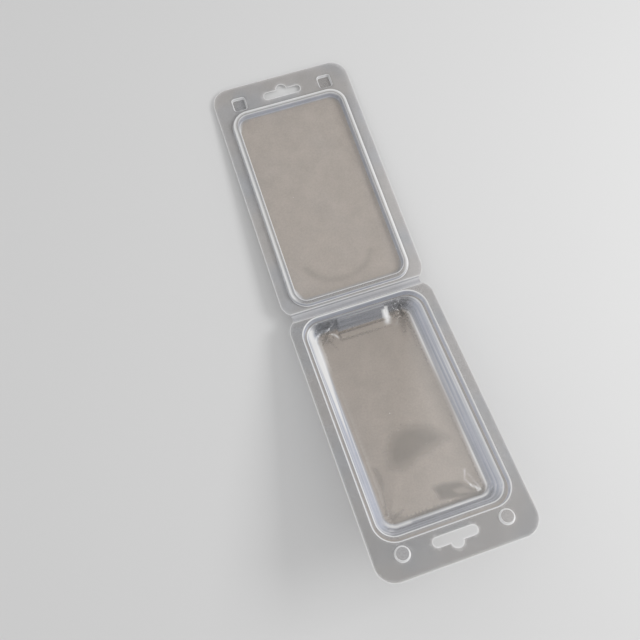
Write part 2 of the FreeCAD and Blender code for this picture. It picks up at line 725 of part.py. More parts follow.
def main():
    """Builds the three pieces, lays them to rest, checks them and writes their files."""
    os.makedirs("parts", exist_ok=True)
    doc = FreeCAD.newDocument("ClamshellPack")
    sizes = make_sizes(doc)
    bodies = [build_tray(doc, sizes), build_strip(doc, sizes), build_lid(doc, sizes)]
    doc.recompute()
    lay_to_rest(bodies, sizes)
    doc.recompute()
    for obj in doc.Objects:
        if "Invalid" in obj.State or "Error" in obj.State:
            raise RuntimeError(f"{obj.Name}: {obj.State} {obj.getStatusString()}")
    for body in bodies:
        if body.Shape.isNull() or not body.Shape.isValid() or len(body.Shape.Solids) != 1:
            raise RuntimeError(f"{body.Label}: bad shape")
        body.Shape.exportStep(f"parts/{body.Label}.step")


main()
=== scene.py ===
"""Scene of an open clear clamshell pack: a formed tray, a folding strip and a framed lid.

The sheet is described in the pack's own flat frame, in millimetres: x runs across, s is the
distance from the fold and z is the height above the flange. A Lay puts each half on the table.
Painted highlights, painted reflections and painted shade stand in for how the clear sheet takes the light:
they are marked on its points, and one finish paints them into its colour.
"""
from __future__ import annotations

import logging
import math
import random
from dataclasses import dataclass, field, fields, replace
from enum import Enum
from typing import Callable, Iterable, Sequence, Union

import bmesh
import bpy
from mathutils import Matrix, Vector
from mathutils.geometry import delaunay_2d_cdt


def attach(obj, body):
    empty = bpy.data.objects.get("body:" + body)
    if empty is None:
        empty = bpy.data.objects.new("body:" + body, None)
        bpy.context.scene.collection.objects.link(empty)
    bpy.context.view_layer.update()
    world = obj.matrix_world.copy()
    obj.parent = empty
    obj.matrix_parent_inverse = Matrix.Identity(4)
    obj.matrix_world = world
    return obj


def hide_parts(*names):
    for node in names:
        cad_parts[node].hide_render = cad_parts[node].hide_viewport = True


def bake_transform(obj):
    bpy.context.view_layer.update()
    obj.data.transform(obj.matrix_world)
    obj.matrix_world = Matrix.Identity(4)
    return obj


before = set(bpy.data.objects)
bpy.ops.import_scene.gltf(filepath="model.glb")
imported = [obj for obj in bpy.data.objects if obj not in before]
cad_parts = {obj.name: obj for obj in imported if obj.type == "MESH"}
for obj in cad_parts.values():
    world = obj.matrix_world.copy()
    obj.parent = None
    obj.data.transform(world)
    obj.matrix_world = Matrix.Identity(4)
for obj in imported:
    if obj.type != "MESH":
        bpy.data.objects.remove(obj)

LOG = logging.getLogger("clamshell")
MM = 0.001
THICKNESS = 0.45
CREASE = 3.15
MERGE_GAP = 0.01
PATCH_GAP = 1e-6
SMOOTH_ANGLE = math.radians(38.0)
CORNERS = ((1, -1, -90.0), (1, 1, 0.0), (-1, 1, 90.0), (-1, -1, 180.0))

Spot = tuple[float, float]
Point = tuple[float, float, float]
Value = Union[bpy.types.NodeSocket, bpy.types.Material, tuple, float, int]


class Half(Enum):
    """The two halves of the pack, by the direction in which they leave the fold."""

    TRAY = -1
    LID = 1


def clamp(value: float) -> float:
    """A value kept between 0 and 1."""
    return max(0.0, min(1.0, value))


def between(first: float, last: float, share: float) -> float:
    """A value at a share of the way from one to another."""
    return first + (last - first) * share


def rise(value: float, start: float, end: float) -> float:
    """How far a value has come from a start, where it is 0, to an end, where it is 1."""
    return clamp((value - start) / (end - start))


def hump(value: float, middle: float, width: float, power: int = 2) -> float:
    """A soft hump round a middle; a higher power gives it a flatter top."""
    return math.exp(-(((value - middle) / width) ** power))


def near_line(x: float, s: float, start: Spot, end: Spot) -> tuple[float, float]:
    """Where a point lies beside a line.

    Args:
        x: the point's place across the pack.
        s: its distance from the fold.
        start: the line's start.
        end: the line's end.

    Returns:
        How far along the line it is, as a share, and how far away from it.
    """
    first, place = Vector(start), Vector((x, s))
    reach = Vector(end) - first
    share = clamp((place - first).dot(reach) / reach.length_squared)
    return share, (place - first - reach * share).length


def inside(place: Vector, ring: Sequence[Vector], gaps: Sequence[Sequence[Vector]] = ()) -> bool:
    """Whether a point lies inside a closed ring and outside its gaps.

    Args:
        place: the point.
        ring: corners of the ring.
        gaps: closed rings that are left out.

    Returns:
        True if it does.
    """
    odd = False
    for index, first in enumerate(ring):
        last = ring[(index + 1) % len(ring)]
        if (first.y > place.y) != (last.y > place.y):
            cross = first.x + (place.y - first.y) * (last.x - first.x) / (last.y - first.y)
            odd ^= place.x < cross
    return odd and not any(inside(place, gap) for gap in gaps)


def run(first: Point, last: Point, steps: int) -> list[Point]:
    """Evenly spaced points from one place up to another, which is left out."""
    return [tuple(between(a, b, count / steps) for a, b in zip(first, last)) for count in range(steps)]


def arc(
    x: float,
    s: float,
    radius: float,
    start: float,
    sweep: float = 90.0,
    steps: int = 6,
    heights: Spot = (0.0, 0.0),
) -> list[Point]:
    """Points along an arc, with both its ends.

    Args:
        x: its centre across the pack.
        s: its centre's distance from the fold.
        radius: its radius.
        start: the angle at which it starts, in degrees.
        sweep: how far it turns, in degrees.
        steps: how many steps it has.
        heights: height at its start and at its end.

    Returns:
        The points, one more than the steps.
    """
    points: list[Point] = []
    for count in range(steps + 1):
        turn, z = math.radians(start + sweep * count / steps), between(*heights, count / steps)
        points.append((x + radius * math.cos(turn), s + radius * math.sin(turn), z))
    return points


def corners(s: float, half_width: float, half_length: float, radius: float) -> list[list[Point]]:
    """The corners of a rounded rectangle in the middle of the pack, anticlockwise.

    Args:
        s: its middle's distance from the fold.
        half_width: half of its size across.
        half_length: half of its size along.
        radius: radius of its corners.

    Returns:
        Four arcs, from the one on the right towards the fold.
    """
    wide, long = half_width - radius, half_length - radius
    return [arc(right * wide, s + far * long, radius, start) for right, far, start in CORNERS]


@dataclass(frozen=True)
class Lay:
    """How one half lies on the table."""

    half: Half
    tilt: float = math.radians(15.9495)
    shift_y: float = -3.5636
    shift_z: float = 12.4864
    lid_rise: float = math.radians(12.9)
    pivot: float = 0.15

    def tilted(self, x: float, y: float, z: float) -> Vector:
        """A point of the flat frame, in metres on the table."""
        cos, sin = math.cos(self.tilt), math.sin(self.tilt)
        return Vector((x, y * cos + z * sin + self.shift_y, z * cos - y * sin + self.shift_z)) * MM

    def place(self, x: float, s: float, z: float) -> Vector:
        """Puts a point of the half's own sheet on the table.

        Args:
            x: place across the pack.
            s: distance from the fold.
            z: height above the flange.

        Returns:
            Its place in metres.
        """
        if self.half is Half.TRAY:
            return self.tilted(x, -s, z)
        cos, sin, up = math.cos(self.lid_rise), math.sin(self.lid_rise), z - self.pivot
        return self.tilted(x, s * cos - up * sin, self.pivot + s * sin + up * cos)


@dataclass(frozen=True)
class Mark:
    """How a point's colour is painted: a painted highlight at bends, a painted bluish reflection on walls,
    a warm floor tone, painted shade (painted light where negative), and crinkles with painted glints and
    shade.
    """

    # The marks in order: painted highlight, painted bluish reflection, warm floor tone, painted shade
    # (painted light where negative), crinkles with painted glints and shade.
    bend: float = 0.0
    wall: float = 0.0
    floor: float = 0.0
    painted_shade: float = 0.0
    crinkle_with_painted_light: float = 0.0

    def lit(self, light: float) -> Mark:
        """The same mark with painted light added: a painted highlight for a positive amount, painted shade
        for a negative one.
        """
        painted_shade = min(1.0, max(-1.0, self.painted_shade - min(0.0, light)))
        return replace(self, bend=clamp(self.bend + max(0.0, light)), painted_shade=painted_shade)


@dataclass(frozen=True)
class PaintedStreak:
    """A soft line of painted light or painted shade between two points of the sheet."""

    start: Spot
    end: Spot
    width: float
    light: float
    thinning: float = 0.6

    def at(self, x: float, s: float) -> float:
        """The streak's painted light at a point; it thins out towards its end."""
        share, away = near_line(x, s, self.start, self.end)
        return self.light * (1 - self.thinning * share) * hump(away, 0.0, self.width)


@dataclass(frozen=True)
class PaintedPatch:
    """A soft-edged area of painted light or painted shade."""

    edge: tuple[Spot, ...]
    soft: float
    light: float

    def at(self, x: float, s: float) -> float:
        """The patch's painted light at a point.

        Args:
            x: place across the pack.
            s: distance from the fold.

        Returns:
            The painted light, or painted shade if it is negative.
        """
        sides = zip(self.edge, self.edge[1:] + self.edge[:1])
        away = min(near_line(x, s, *side)[1] for side in sides)
        depth = away if inside(Vector((x, s)), [Vector(corner) for corner in self.edge]) else -away
        return self.light * clamp(0.5 + depth / self.soft)


@dataclass(frozen=True)
class Pocket:
    """A crinkled spot of the sheet; its crinkles get bumps, painted glints and painted shade."""

    x: float
    s: float
    reach: float
    strength: float

    def at(self, x: float, s: float) -> float:
        """How crinkled a point is."""
        return self.strength * hump(math.hypot(x - self.x, s - self.s), 0.0, self.reach)


@dataclass(frozen=True)
class Crease:
    """A pinched fold in the formed floor, highest at its start."""

    start: Spot
    end: Spot
    height: float
    width: float

    def lift(self, x: float, s: float) -> float:
        """How much the fold raises a point."""
        share, away = near_line(x, s, self.start, self.end)
        return self.height * (1 - share) ** 0.7 * hump(away, 0.0, self.width * (0.4 + share))


@dataclass(frozen=True)
class PaintedBand:
    """A line of painted light or painted shade along a wall, at a share of its height."""

    fall: float
    width: float
    light: float

    def at(self, fall: float) -> float:
        """The band's painted light at a share of the wall's height."""
        return self.light * hump(fall, self.fall, self.width)


@dataclass(frozen=True)
class PaintedGlint:
    """A soft spot of painted highlight on a wall: middle and reach across, along and by share of its
    height.
    """

    middle: Point
    reach: Point
    light: float
    power: int = 2

    def at(self, x: float, s: float, fall: float) -> float:
        """The spot's painted light at a place of the wall."""
        sizes = zip((x, s, fall), self.middle, self.reach)
        return self.light * math.prod(hump(*size, self.power) for size in sizes)


@dataclass(frozen=True)
class PaintedLongGlint:
    """A painted highlight streak along a side wall that narrows away from the fold and fades at its ends.
    """

    band: PaintedBand = PaintedBand(0.62, 0.33, 1.5)
    fade_in: Spot = (11.0, 16.0)
    fade_out: Spot = (104.0, 74.0)
    narrowing: Spot = (34.0, 100.0)
    least: float = 0.12

    def at(self, s: float, fall: float) -> float:
        """The streak's painted light at a place of the wall.

        Args:
            s: distance from the fold.
            fall: share of the wall's height.

        Returns:
            The painted light.
        """
        width = self.band.width * max(self.least, 1 - rise(s, *self.narrowing))
        ends = rise(s, *self.fade_in) * rise(s, *self.fade_out)
        return self.band.light * ends * hump(fall, self.band.fall, width, 4)


@dataclass(frozen=True)
class Divisions:
    """Where an outline's heel run has its columns, and how finely the rest is divided."""

    heel: tuple[float, ...]
    corner: int = 10
    side: int = 44
    toe: int = 22


@dataclass(frozen=True)
class Outline:
    """A rounded rectangle seen from above, at one height; its heel run is beside the fold."""

    half: float
    heel: float
    toe: float
    radius: float = 0.0
    z: float = 0.0

    def inset(self, side: float, heel: float, toe: float, radius: float, z: float) -> Outline:
        """The outline moved inwards by a distance on each run, with a radius and height of its own."""
        return Outline(self.half - side, self.heel + heel, self.toe - toe, radius, z)

    def depth(self, x: float, s: float) -> float:
        """Distance of a point inside from the nearest straight run."""
        return min(self.half - abs(x), s - self.heel, self.toe - s)

    def ring(self, heel_z: float, side_z: float, toe_z: float, cuts: Divisions) -> list[Point]:
        """Points round the outline; its corners blend the heights of its straight runs.

        Args:
            heel_z: height of the run beside the fold.
            side_z: height of the two long runs.
            toe_z: height of the far run.
            cuts: how finely to divide it.

        Returns:
            Points from the heel's left end round by the right, the toe and the left.
        """
        low, high, reach = self.heel + self.radius, self.toe - self.radius, self.half - self.radius

        def corner(x: float, s: float, start: float, first: float, last: float) -> list[Point]:
            """A corner without its last point."""
            return arc(x, s, self.radius, start, steps=cuts.corner, heights=(first, last))[:-1]

        points = [(max(-reach, min(reach, x)), self.heel, heel_z) for x in cuts.heel[:-1]]
        points += corner(reach, low, -90.0, heel_z, side_z)
        points += run((self.half, low, side_z), (self.half, high, side_z), cuts.side)
        points += corner(reach, high, 0.0, side_z, toe_z)
        points += run((reach, self.toe, toe_z), (-reach, self.toe, toe_z), cuts.toe)
        points += corner(-reach, high, 90.0, toe_z, side_z)
        points += run((-self.half, high, side_z), (-self.half, low, side_z), cuts.side)
        return points + corner(-reach, low, 180.0, side_z, heel_z)


@dataclass(frozen=True)
class Step:
    """One point of a wall's section: how far in, how far down, and off its straight line."""

    inward: float
    drop: float
    stray: float
    mark: Mark


@dataclass(frozen=True)
class WallShape:
    """Radii, divisions and painted highlight whiteness of a formed wall's bends."""

    top_radius: float
    foot_radius: float
    top_steps: int
    wall_steps: int
    foot_steps: int
    top_white: float
    foot_white: float

    def section(self, lean: float, depth: float) -> list[Step]:
        """The wall's section from the tangent on its rim to the tangent on its foot.

        Args:
            lean: how far the wall leans in over its whole depth.
            depth: height of the wall.

        Returns:
            Steps from the rim down to the foot.
        """
        slope, angle = lean / depth, math.atan2(depth, lean)

        def step(inward: float, drop: float, mark: Mark) -> Step:
            """A step with its distance from the wall's straight line."""
            return Step(inward, drop, inward - slope * drop, mark)

        top: list[Step] = []
        reach = self.top_radius * math.tan(angle / 2)
        for count in range(self.top_steps + 1):
            share = count / self.top_steps
            inward = self.top_radius * math.sin(angle * share) - reach
            drop = self.top_radius * (1 - math.cos(angle * share))
            # Painted highlight along the rim's bend.
            white = self.top_white * math.sin(math.pi * 0.9 * share) ** 0.5
            top.append(step(inward, drop, Mark(white, wall=share)))
        foot: list[Step] = []
        reach = self.foot_radius * math.tan(angle / 2)
        for count in range(self.foot_steps + 1):
            share = count / self.foot_steps
            inward = lean + reach - self.foot_radius * math.sin(angle * (1 - share))
            drop = depth - self.foot_radius * (1 - math.cos(angle * (1 - share)))
            # Painted highlight along the foot's bend; the wall's painted bluish reflection fades into the
            # floor tone.
            white = self.foot_white * math.sin(math.pi * share)
            foot.append(step(inward, drop, Mark(white, wall=1 - share, floor=share)))
        first, last = top[-1], foot[0]
        ends = (first.inward, first.drop, 0.0), (last.inward, last.drop, 0.0)
        # The straight wall carries the full painted bluish reflection.
        wall = [Step(*place, Mark(wall=1.0)) for place in run(*ends, self.wall_steps)[1:]]
        return top + wall + foot


@dataclass(frozen=True)
class Grid:
    """Rows of points that a flat area is filled with; every second row can be shifted."""

    corner: Spot
    step: Spot
    rows: int
    columns: int
    clearance: float
    shift: float = 0.0
    stray: float = 0.0
    seed: int = 11

    def places(self) -> list[Vector]:
        """The points, each a little off its place where the grid strays.

        Returns:
            The points seen from above, row by row.
        """
        rng = random.Random(self.seed)
        found: list[Vector] = []
        for row in range(self.rows):
            for column in range(self.columns):
                x = self.corner[0] + self.step[0] * column + self.shift * (row % 2)
                s = self.corner[1] + self.step[1] * row
                off_x, off_s = (rng.uniform(-self.stray, self.stray) for _ in range(2))
                found.append(Vector((x + off_x, s + off_s)))
        return found


@dataclass
class SheetMesh:
    """A sheet that is put together from rings and patches, in its own flat frame."""

    points: list[Point] = field(default_factory=list)
    marks: list[Mark] = field(default_factory=list)
    faces: list[tuple[int, ...]] = field(default_factory=list)

    def add(self, points: Iterable[Point], marks: Iterable[Mark]) -> list[int]:
        """Adds points to the sheet.

        Args:
            points: the points.
            marks: a mark for each of them.

        Returns:
            Their numbers.
        """
        start = len(self.points)
        self.points.extend(points)
        self.marks.extend(marks)
        return list(range(start, len(self.points)))

    def seen(self, numbers: Sequence[int]) -> list[Vector]:
        """Places of some points, seen from above."""
        return [Vector(self.points[number][:2]) for number in numbers]

    def stitch(self, loops: Sequence[Sequence[int]]) -> None:
        """Joins closed loops of the same count, each with the next, by four-sided faces.

        Args:
            loops: the loops, from the outermost inwards.
        """
        for outer, inner in zip(loops, loops[1:]):
            for index in range(len(outer)):
                following = (index + 1) % len(outer)
                self.faces.append((outer[index], outer[following], inner[following], inner[index]))

    def patch(
        self, outer: Sequence[int], holes: Sequence[Sequence[int]] = (), spots: Sequence[int] = ()
    ) -> None:
        """Fills the area inside a loop with triangles.

        Args:
            outer: the loop round the area.
            holes: loops whose insides stay open.
            spots: further points inside the area.
        """
        numbers: list[int] = []
        edges: list[tuple[int, int]] = []
        for loop in (outer, *holes):
            start = len(numbers)
            numbers.extend(loop)
            edges.extend((start + i, start + (i + 1) % len(loop)) for i in range(len(loop)))
        numbers.extend(spots)
        places, _, faces, origins, _, _ = delaunay_2d_cdt(self.seen(numbers), edges, [], 0, PATCH_GAP)
        ring, gaps = self.seen(outer), [self.seen(hole) for hole in holes]
        for face in faces:
            centre = sum((places[index] for index in face), Vector((0, 0))) / len(face)
            if inside(centre, ring, gaps):
                self.faces.append(tuple(numbers[origins[index][0]] for index in face))

    def fill(
        self,
        rim: Sequence[int],
        grid: Grid,
        height: Callable[[float, float], float],
        mark: Callable[[float, float], Mark],
        holes: Sequence[Sequence[int]] = (),
        spots: Sequence[int] = (),
    ) -> None:
        """Fills the area inside a loop with a grid of points.

        Args:
            rim: the loop round the area.
            grid: the points to choose from.
            height: gives the height at a place.
            mark: gives the mark at a place.
            holes: loops whose insides stay open.
            spots: further points inside the area.
        """
        ring, gaps = self.seen(rim), [self.seen(hole) for hole in holes]
        edge = [corner for loop in (*gaps, ring) for corner in loop]
        places = [place for place in grid.places() if inside(place, ring, gaps)]
        places = [place for place in places if min((place - end).length for end in edge) > grid.clearance]
        points = [(x, s, height(x, s)) for x, s in places]
        numbers = self.add(points, [mark(x, s) for x, s in places])
        self.patch(rim, holes, [*numbers, *spots])

    def build(self, name: str, places: Sequence[Vector], finish: bpy.types.Material) -> bpy.types.Object:
        """Lays the sheet on the table, gives it its thickness and dresses it.

        Args:
            name: the piece's name.
            places: the points' places on the table.
            finish: the sheet's material.

        Returns:
            The finished piece.
        """
        mesh = bpy.data.meshes.new(name)
        mesh.from_pydata(places, [], self.faces)
        flat = mesh.attributes.new("flat", "FLOAT_VECTOR", "POINT")
        flat.data.foreach_set("vector", [value * MM for point in self.points for value in point])
        for key in (entry.name for entry in fields(Mark)):
            tone = mesh.attributes.new(key, "FLOAT", "POINT")
            tone.data.foreach_set("value", [getattr(mark, key) for mark in self.marks])
        sheet = bmesh.new()
        sheet.from_mesh(mesh)
        bmesh.ops.remove_doubles(sheet, verts=sheet.verts, dist=MERGE_GAP * MM)
        loose = [vert for vert in sheet.verts if not vert.link_faces]
        bmesh.ops.delete(sheet, geom=loose, context="VERTS")
        bmesh.ops.recalc_face_normals(sheet, faces=sheet.faces)
        if sum(face.normal.z * face.calc_area() for face in sheet.faces) < 0:
            bmesh.ops.reverse_faces(sheet, faces=sheet.faces)
        sheet.to_mesh(mesh)
        sheet.free()
        piece = put(name, mesh)
        wall = piece.modifiers.new("thickness", "SOLIDIFY")
        wall.thickness = THICKNESS * MM
        wall.offset = -1.0
        wall.use_even_offset = True
        wall.use_quality_normals = True
        settle(piece)
        soften(piece.data)
        piece.data.materials.clear()
        piece.data.materials.append(finish)
        return piece


def put(name: str, data: bpy.types.ID) -> bpy.types.Object:
    """Puts an object into the scene.

    Args:
        name: the object's name.
        data: its mesh, lamp or lens.

    Returns:
        The object.
    """
    piece = bpy.data.objects.new(name, data)
    bpy.context.scene.collection.objects.link(piece)
    return piece


def settle(piece: bpy.types.Object) -> None:
    """Turns a piece with modifiers into a plain mesh.

    Args:
        piece: the piece.
    """
    graph = bpy.context.evaluated_depsgraph_get()
    mesh = bpy.data.meshes.new_from_object(piece.evaluated_get(graph), depsgraph=graph)
    old = piece.data
    piece.modifiers.clear()
    piece.data = mesh
    bpy.data.meshes.remove(old)


def soften(mesh: bpy.types.Mesh) -> None:
    """Shades a mesh smooth, but for its sharp edges.

    Args:
        mesh: the mesh.
    """
    sheet = bmesh.new()
    sheet.from_mesh(mesh)
    for face in sheet.faces:
        face.smooth = True
    for edge in sheet.edges:
        edge.smooth = edge.calc_face_angle(0.0) < SMOOTH_ANGLE
    sheet.to_mesh(mesh)
    sheet.free()


def wall_rings(
    top: Outline, foot: Outline, shape: WallShape, cuts: Divisions
) -> list[tuple[list[Point], Mark]]:
    """Rings of a formed wall between two outlines.

    Args:
        top: the outline of its rim.
        foot: the outline of its foot.
        shape: its bends.
        cuts: how finely each ring is divided.

    Returns:
        Points and mark of each ring, from the rim to the foot.
    """
    depth = top.z - foot.z
    leans = (foot.heel - top.heel, top.half - foot.half, top.toe - foot.toe)
    rings: list[tuple[list[Point], Mark]] = []
    for steps in zip(*(shape.section(lean, depth) for lean in leans)):
        heel, side, toe = steps
        radius = between(top.radius, foot.radius, side.drop / depth) - side.stray
        outline = top.inset(side.inward, heel.inward, toe.inward, radius, 0.0)
        rings.append((outline.ring(*(top.z - step.drop for step in steps), cuts), side.mark))
    return rings


@dataclass(frozen=True)
class Flange:
    """The flat flange of one half, with its cut corners and its hang slot."""

    # tone: the flange's painted shade, painted light where negative.
    tone: Mark
    wave_start: float
    # end_shade: painted shade that grows over end_zone towards the far end.
    end_shade: float = 0.0
    end_zone: Spot = (140.0, 172.0)
    width: float = 110.0
    end: float = 194.65
    end_radius: float = 13.5
    heel_radius: float = 12.0
    heel_reach: float = 9.35
    slot_middle: float = 179.6
    slot_half_length: float = 14.9
    slot_half_width: float = 3.0
    slot_radius: float = 2.8
    notch_radius: float = 4.0
    notch_shift: float = 3.2
    # Painted highlight on the cut edges: its strength on the outer edge and round the slot, and how it
    # falls off inwards.
    outer_light: float = 0.75
    slot_light: float = 0.9
    edge_light: tuple[Spot, ...] = ((0.0, 1.0), (0.28, 0.9), (0.55, 0.15))
    crease_steps: int = 40
    corner_steps: int = 12
    notch_steps: int = 16
    grid_start: float = 1.7
    grid_step: Spot = (2.17, 2.13)
    wave_height: float = 0.035

    def outline(self, inward: float) -> list[Point]:
        """The flange's edge, anticlockwise from the crease's left end.

        Args:
            inward: how far to move it inwards.

        Returns:
            Points, the same number for each distance.
        """
        heel_x, heel_s = self.width / 2 - self.heel_radius, CREASE + self.heel_reach
        end_x, end_s = self.width / 2 - self.end_radius, self.end - self.end_radius
        heel, end, reach = self.heel_radius - inward, self.end_radius - inward, self.heel_reach - inward
        bow = math.sqrt(heel**2 - reach**2)
        sweep = math.degrees(math.atan2(reach, bow))
        low = CREASE + inward
        points = run((-heel_x - bow, low, 0.0), (heel_x + bow, low, 0.0), self.crease_steps)
        points += arc(heel_x, heel_s, heel, -sweep, sweep, self.corner_steps)
        points += arc(end_x, end_s, end, 0.0, steps=self.corner_steps)
        points += arc(-end_x, end_s, end, 90.0, steps=self.corner_steps)
        return points + arc(-heel_x, heel_s, heel, 180.0, sweep, self.corner_steps)[:-1]

    def slot(self, outward: float) -> list[Point]:
        """The hang slot's edge, with its notch towards the end.

        Args:
            outward: how far to move it outwards.

        Returns:
            Points, the same number for each distance.
        """
        sizes = (size + outward for size in (self.slot_half_length, self.slot_half_width, self.slot_radius))
        right_low, right_high, left_high, left_low = corners(self.slot_middle, *sizes)
        notch = self.notch_radius + outward
        cut = math.degrees(math.asin((self.slot_half_width + outward - self.notch_shift) / notch))
        bow = arc(0.0, self.slot_middle + self.notch_shift, notch, cut, 180.0 - 2 * cut, self.notch_steps)
        return right_low + right_high + bow + left_high + left_low

    def edged(self, sheet: SheetMesh, outline: Callable[[float], list[Point]], light: float) -> list[int]:
        """Adds a cut edge with a painted highlight along it.

        Args:
            sheet: the sheet to add to.
            outline: gives the edge moved by a distance into the sheet.
            light: how strong its painted highlight is.

        Returns:
            The loop where the flat sheet starts.
        """
        loops: list[list[int]] = []
        for away, share in self.edge_light:
            points = outline(away)
            loops.append(sheet.add(points, [replace(self.tone, bend=light * share)] * len(points)))
        sheet.stitch(loops)
        return loops[-1]

    def waves(self, x: float, s: float) -> float:
        """Height of the slight waves in the flat sheet."""
        start = self.wave_start
        return self.wave_height * math.sin(x * 0.13 + start) * math.sin(s * 0.09 + 2 * start)

    def mark(self, _: float, s: float) -> Mark:
        """The flat sheet's mark, with painted shade that grows towards its far end."""
        return replace(self.tone, painted_shade=self.tone.painted_shade + self.end_shade * rise(s, *self.end_zone))

    def lay_out(self, sheet: SheetMesh, holes: Sequence[Sequence[int]]) -> None:
        """Fills the flange between its edge and the given holes.

        Args:
            sheet: the sheet to add to.
            holes: loops that other parts of the sheet fill.
        """
        rim = self.edged(sheet, self.outline, self.outer_light)
        slot = self.edged(sheet, self.slot, self.slot_light)
        corner = (self.grid_start - self.width / 2, CREASE + self.grid_start)
        grid = Grid(corner, self.grid_step, rows=90, columns=50, clearance=1.0)
        sheet.fill(rim, grid, self.waves, self.mark, (*holes, slot))


@dataclass(frozen=True)
class SnapStud:
    """A round hollow stud on the tray, or a square socket in the lid."""

    height: float
    half_width: float
    half_length: float
    radius: float
    lean: float
    x: float = 35.2
    s: float = 179.15
    round_steps: int = 40
    shape: WallShape = WallShape(0.5, 0.45, 3, 2, 4, top_white=1.0, foot_white=1.0)

    def form(self, sheet: SheetMesh) -> list[int]:
        """Adds the stud or socket to a sheet.

        Args:
            sheet: the sheet to add to.

        Returns:
            The loop at its foot.
        """
        loops: list[list[int]] = []
        for step in self.shape.section(self.lean, abs(self.height)):
            z = math.copysign(step.drop, self.height)
            points = [(self.x + x, s, z) for x, s, _ in self.outline(step.inward)]
            # Painted highlight on the bends and walls, with some painted bluish reflection on the walls.
            mark = Mark(max(step.mark.bend, 0.7 * step.mark.wall), step.mark.wall * 0.6)
            loops.append(sheet.add(points, [mark] * len(points)))
        sheet.stitch(loops)
        sheet.patch(loops[-1])
        return loops[0]

    def form_pair(self, sheet: SheetMesh) -> list[list[int]]:
        """Adds it on both sides, left first, and returns the loops at the feet."""
        return [replace(self, x=x).form(sheet) for x in (-self.x, self.x)]

    def outline(self, inward: float) -> list[Point]:
        """Its outline as if it stood in the middle of the pack.

        Args:
            inward: distance from the outline of its foot.

        Returns:
            Points; a round one has no straight runs.
        """
        sizes = [size - inward for size in (self.half_width, self.half_length, self.radius)]
        if self.radius == self.half_width:
            return arc(0.0, self.s, sizes[-1], 0.0, 360.0, self.round_steps)[:-1]
        return [point for corner in corners(self.s, *sizes) for point in corner]


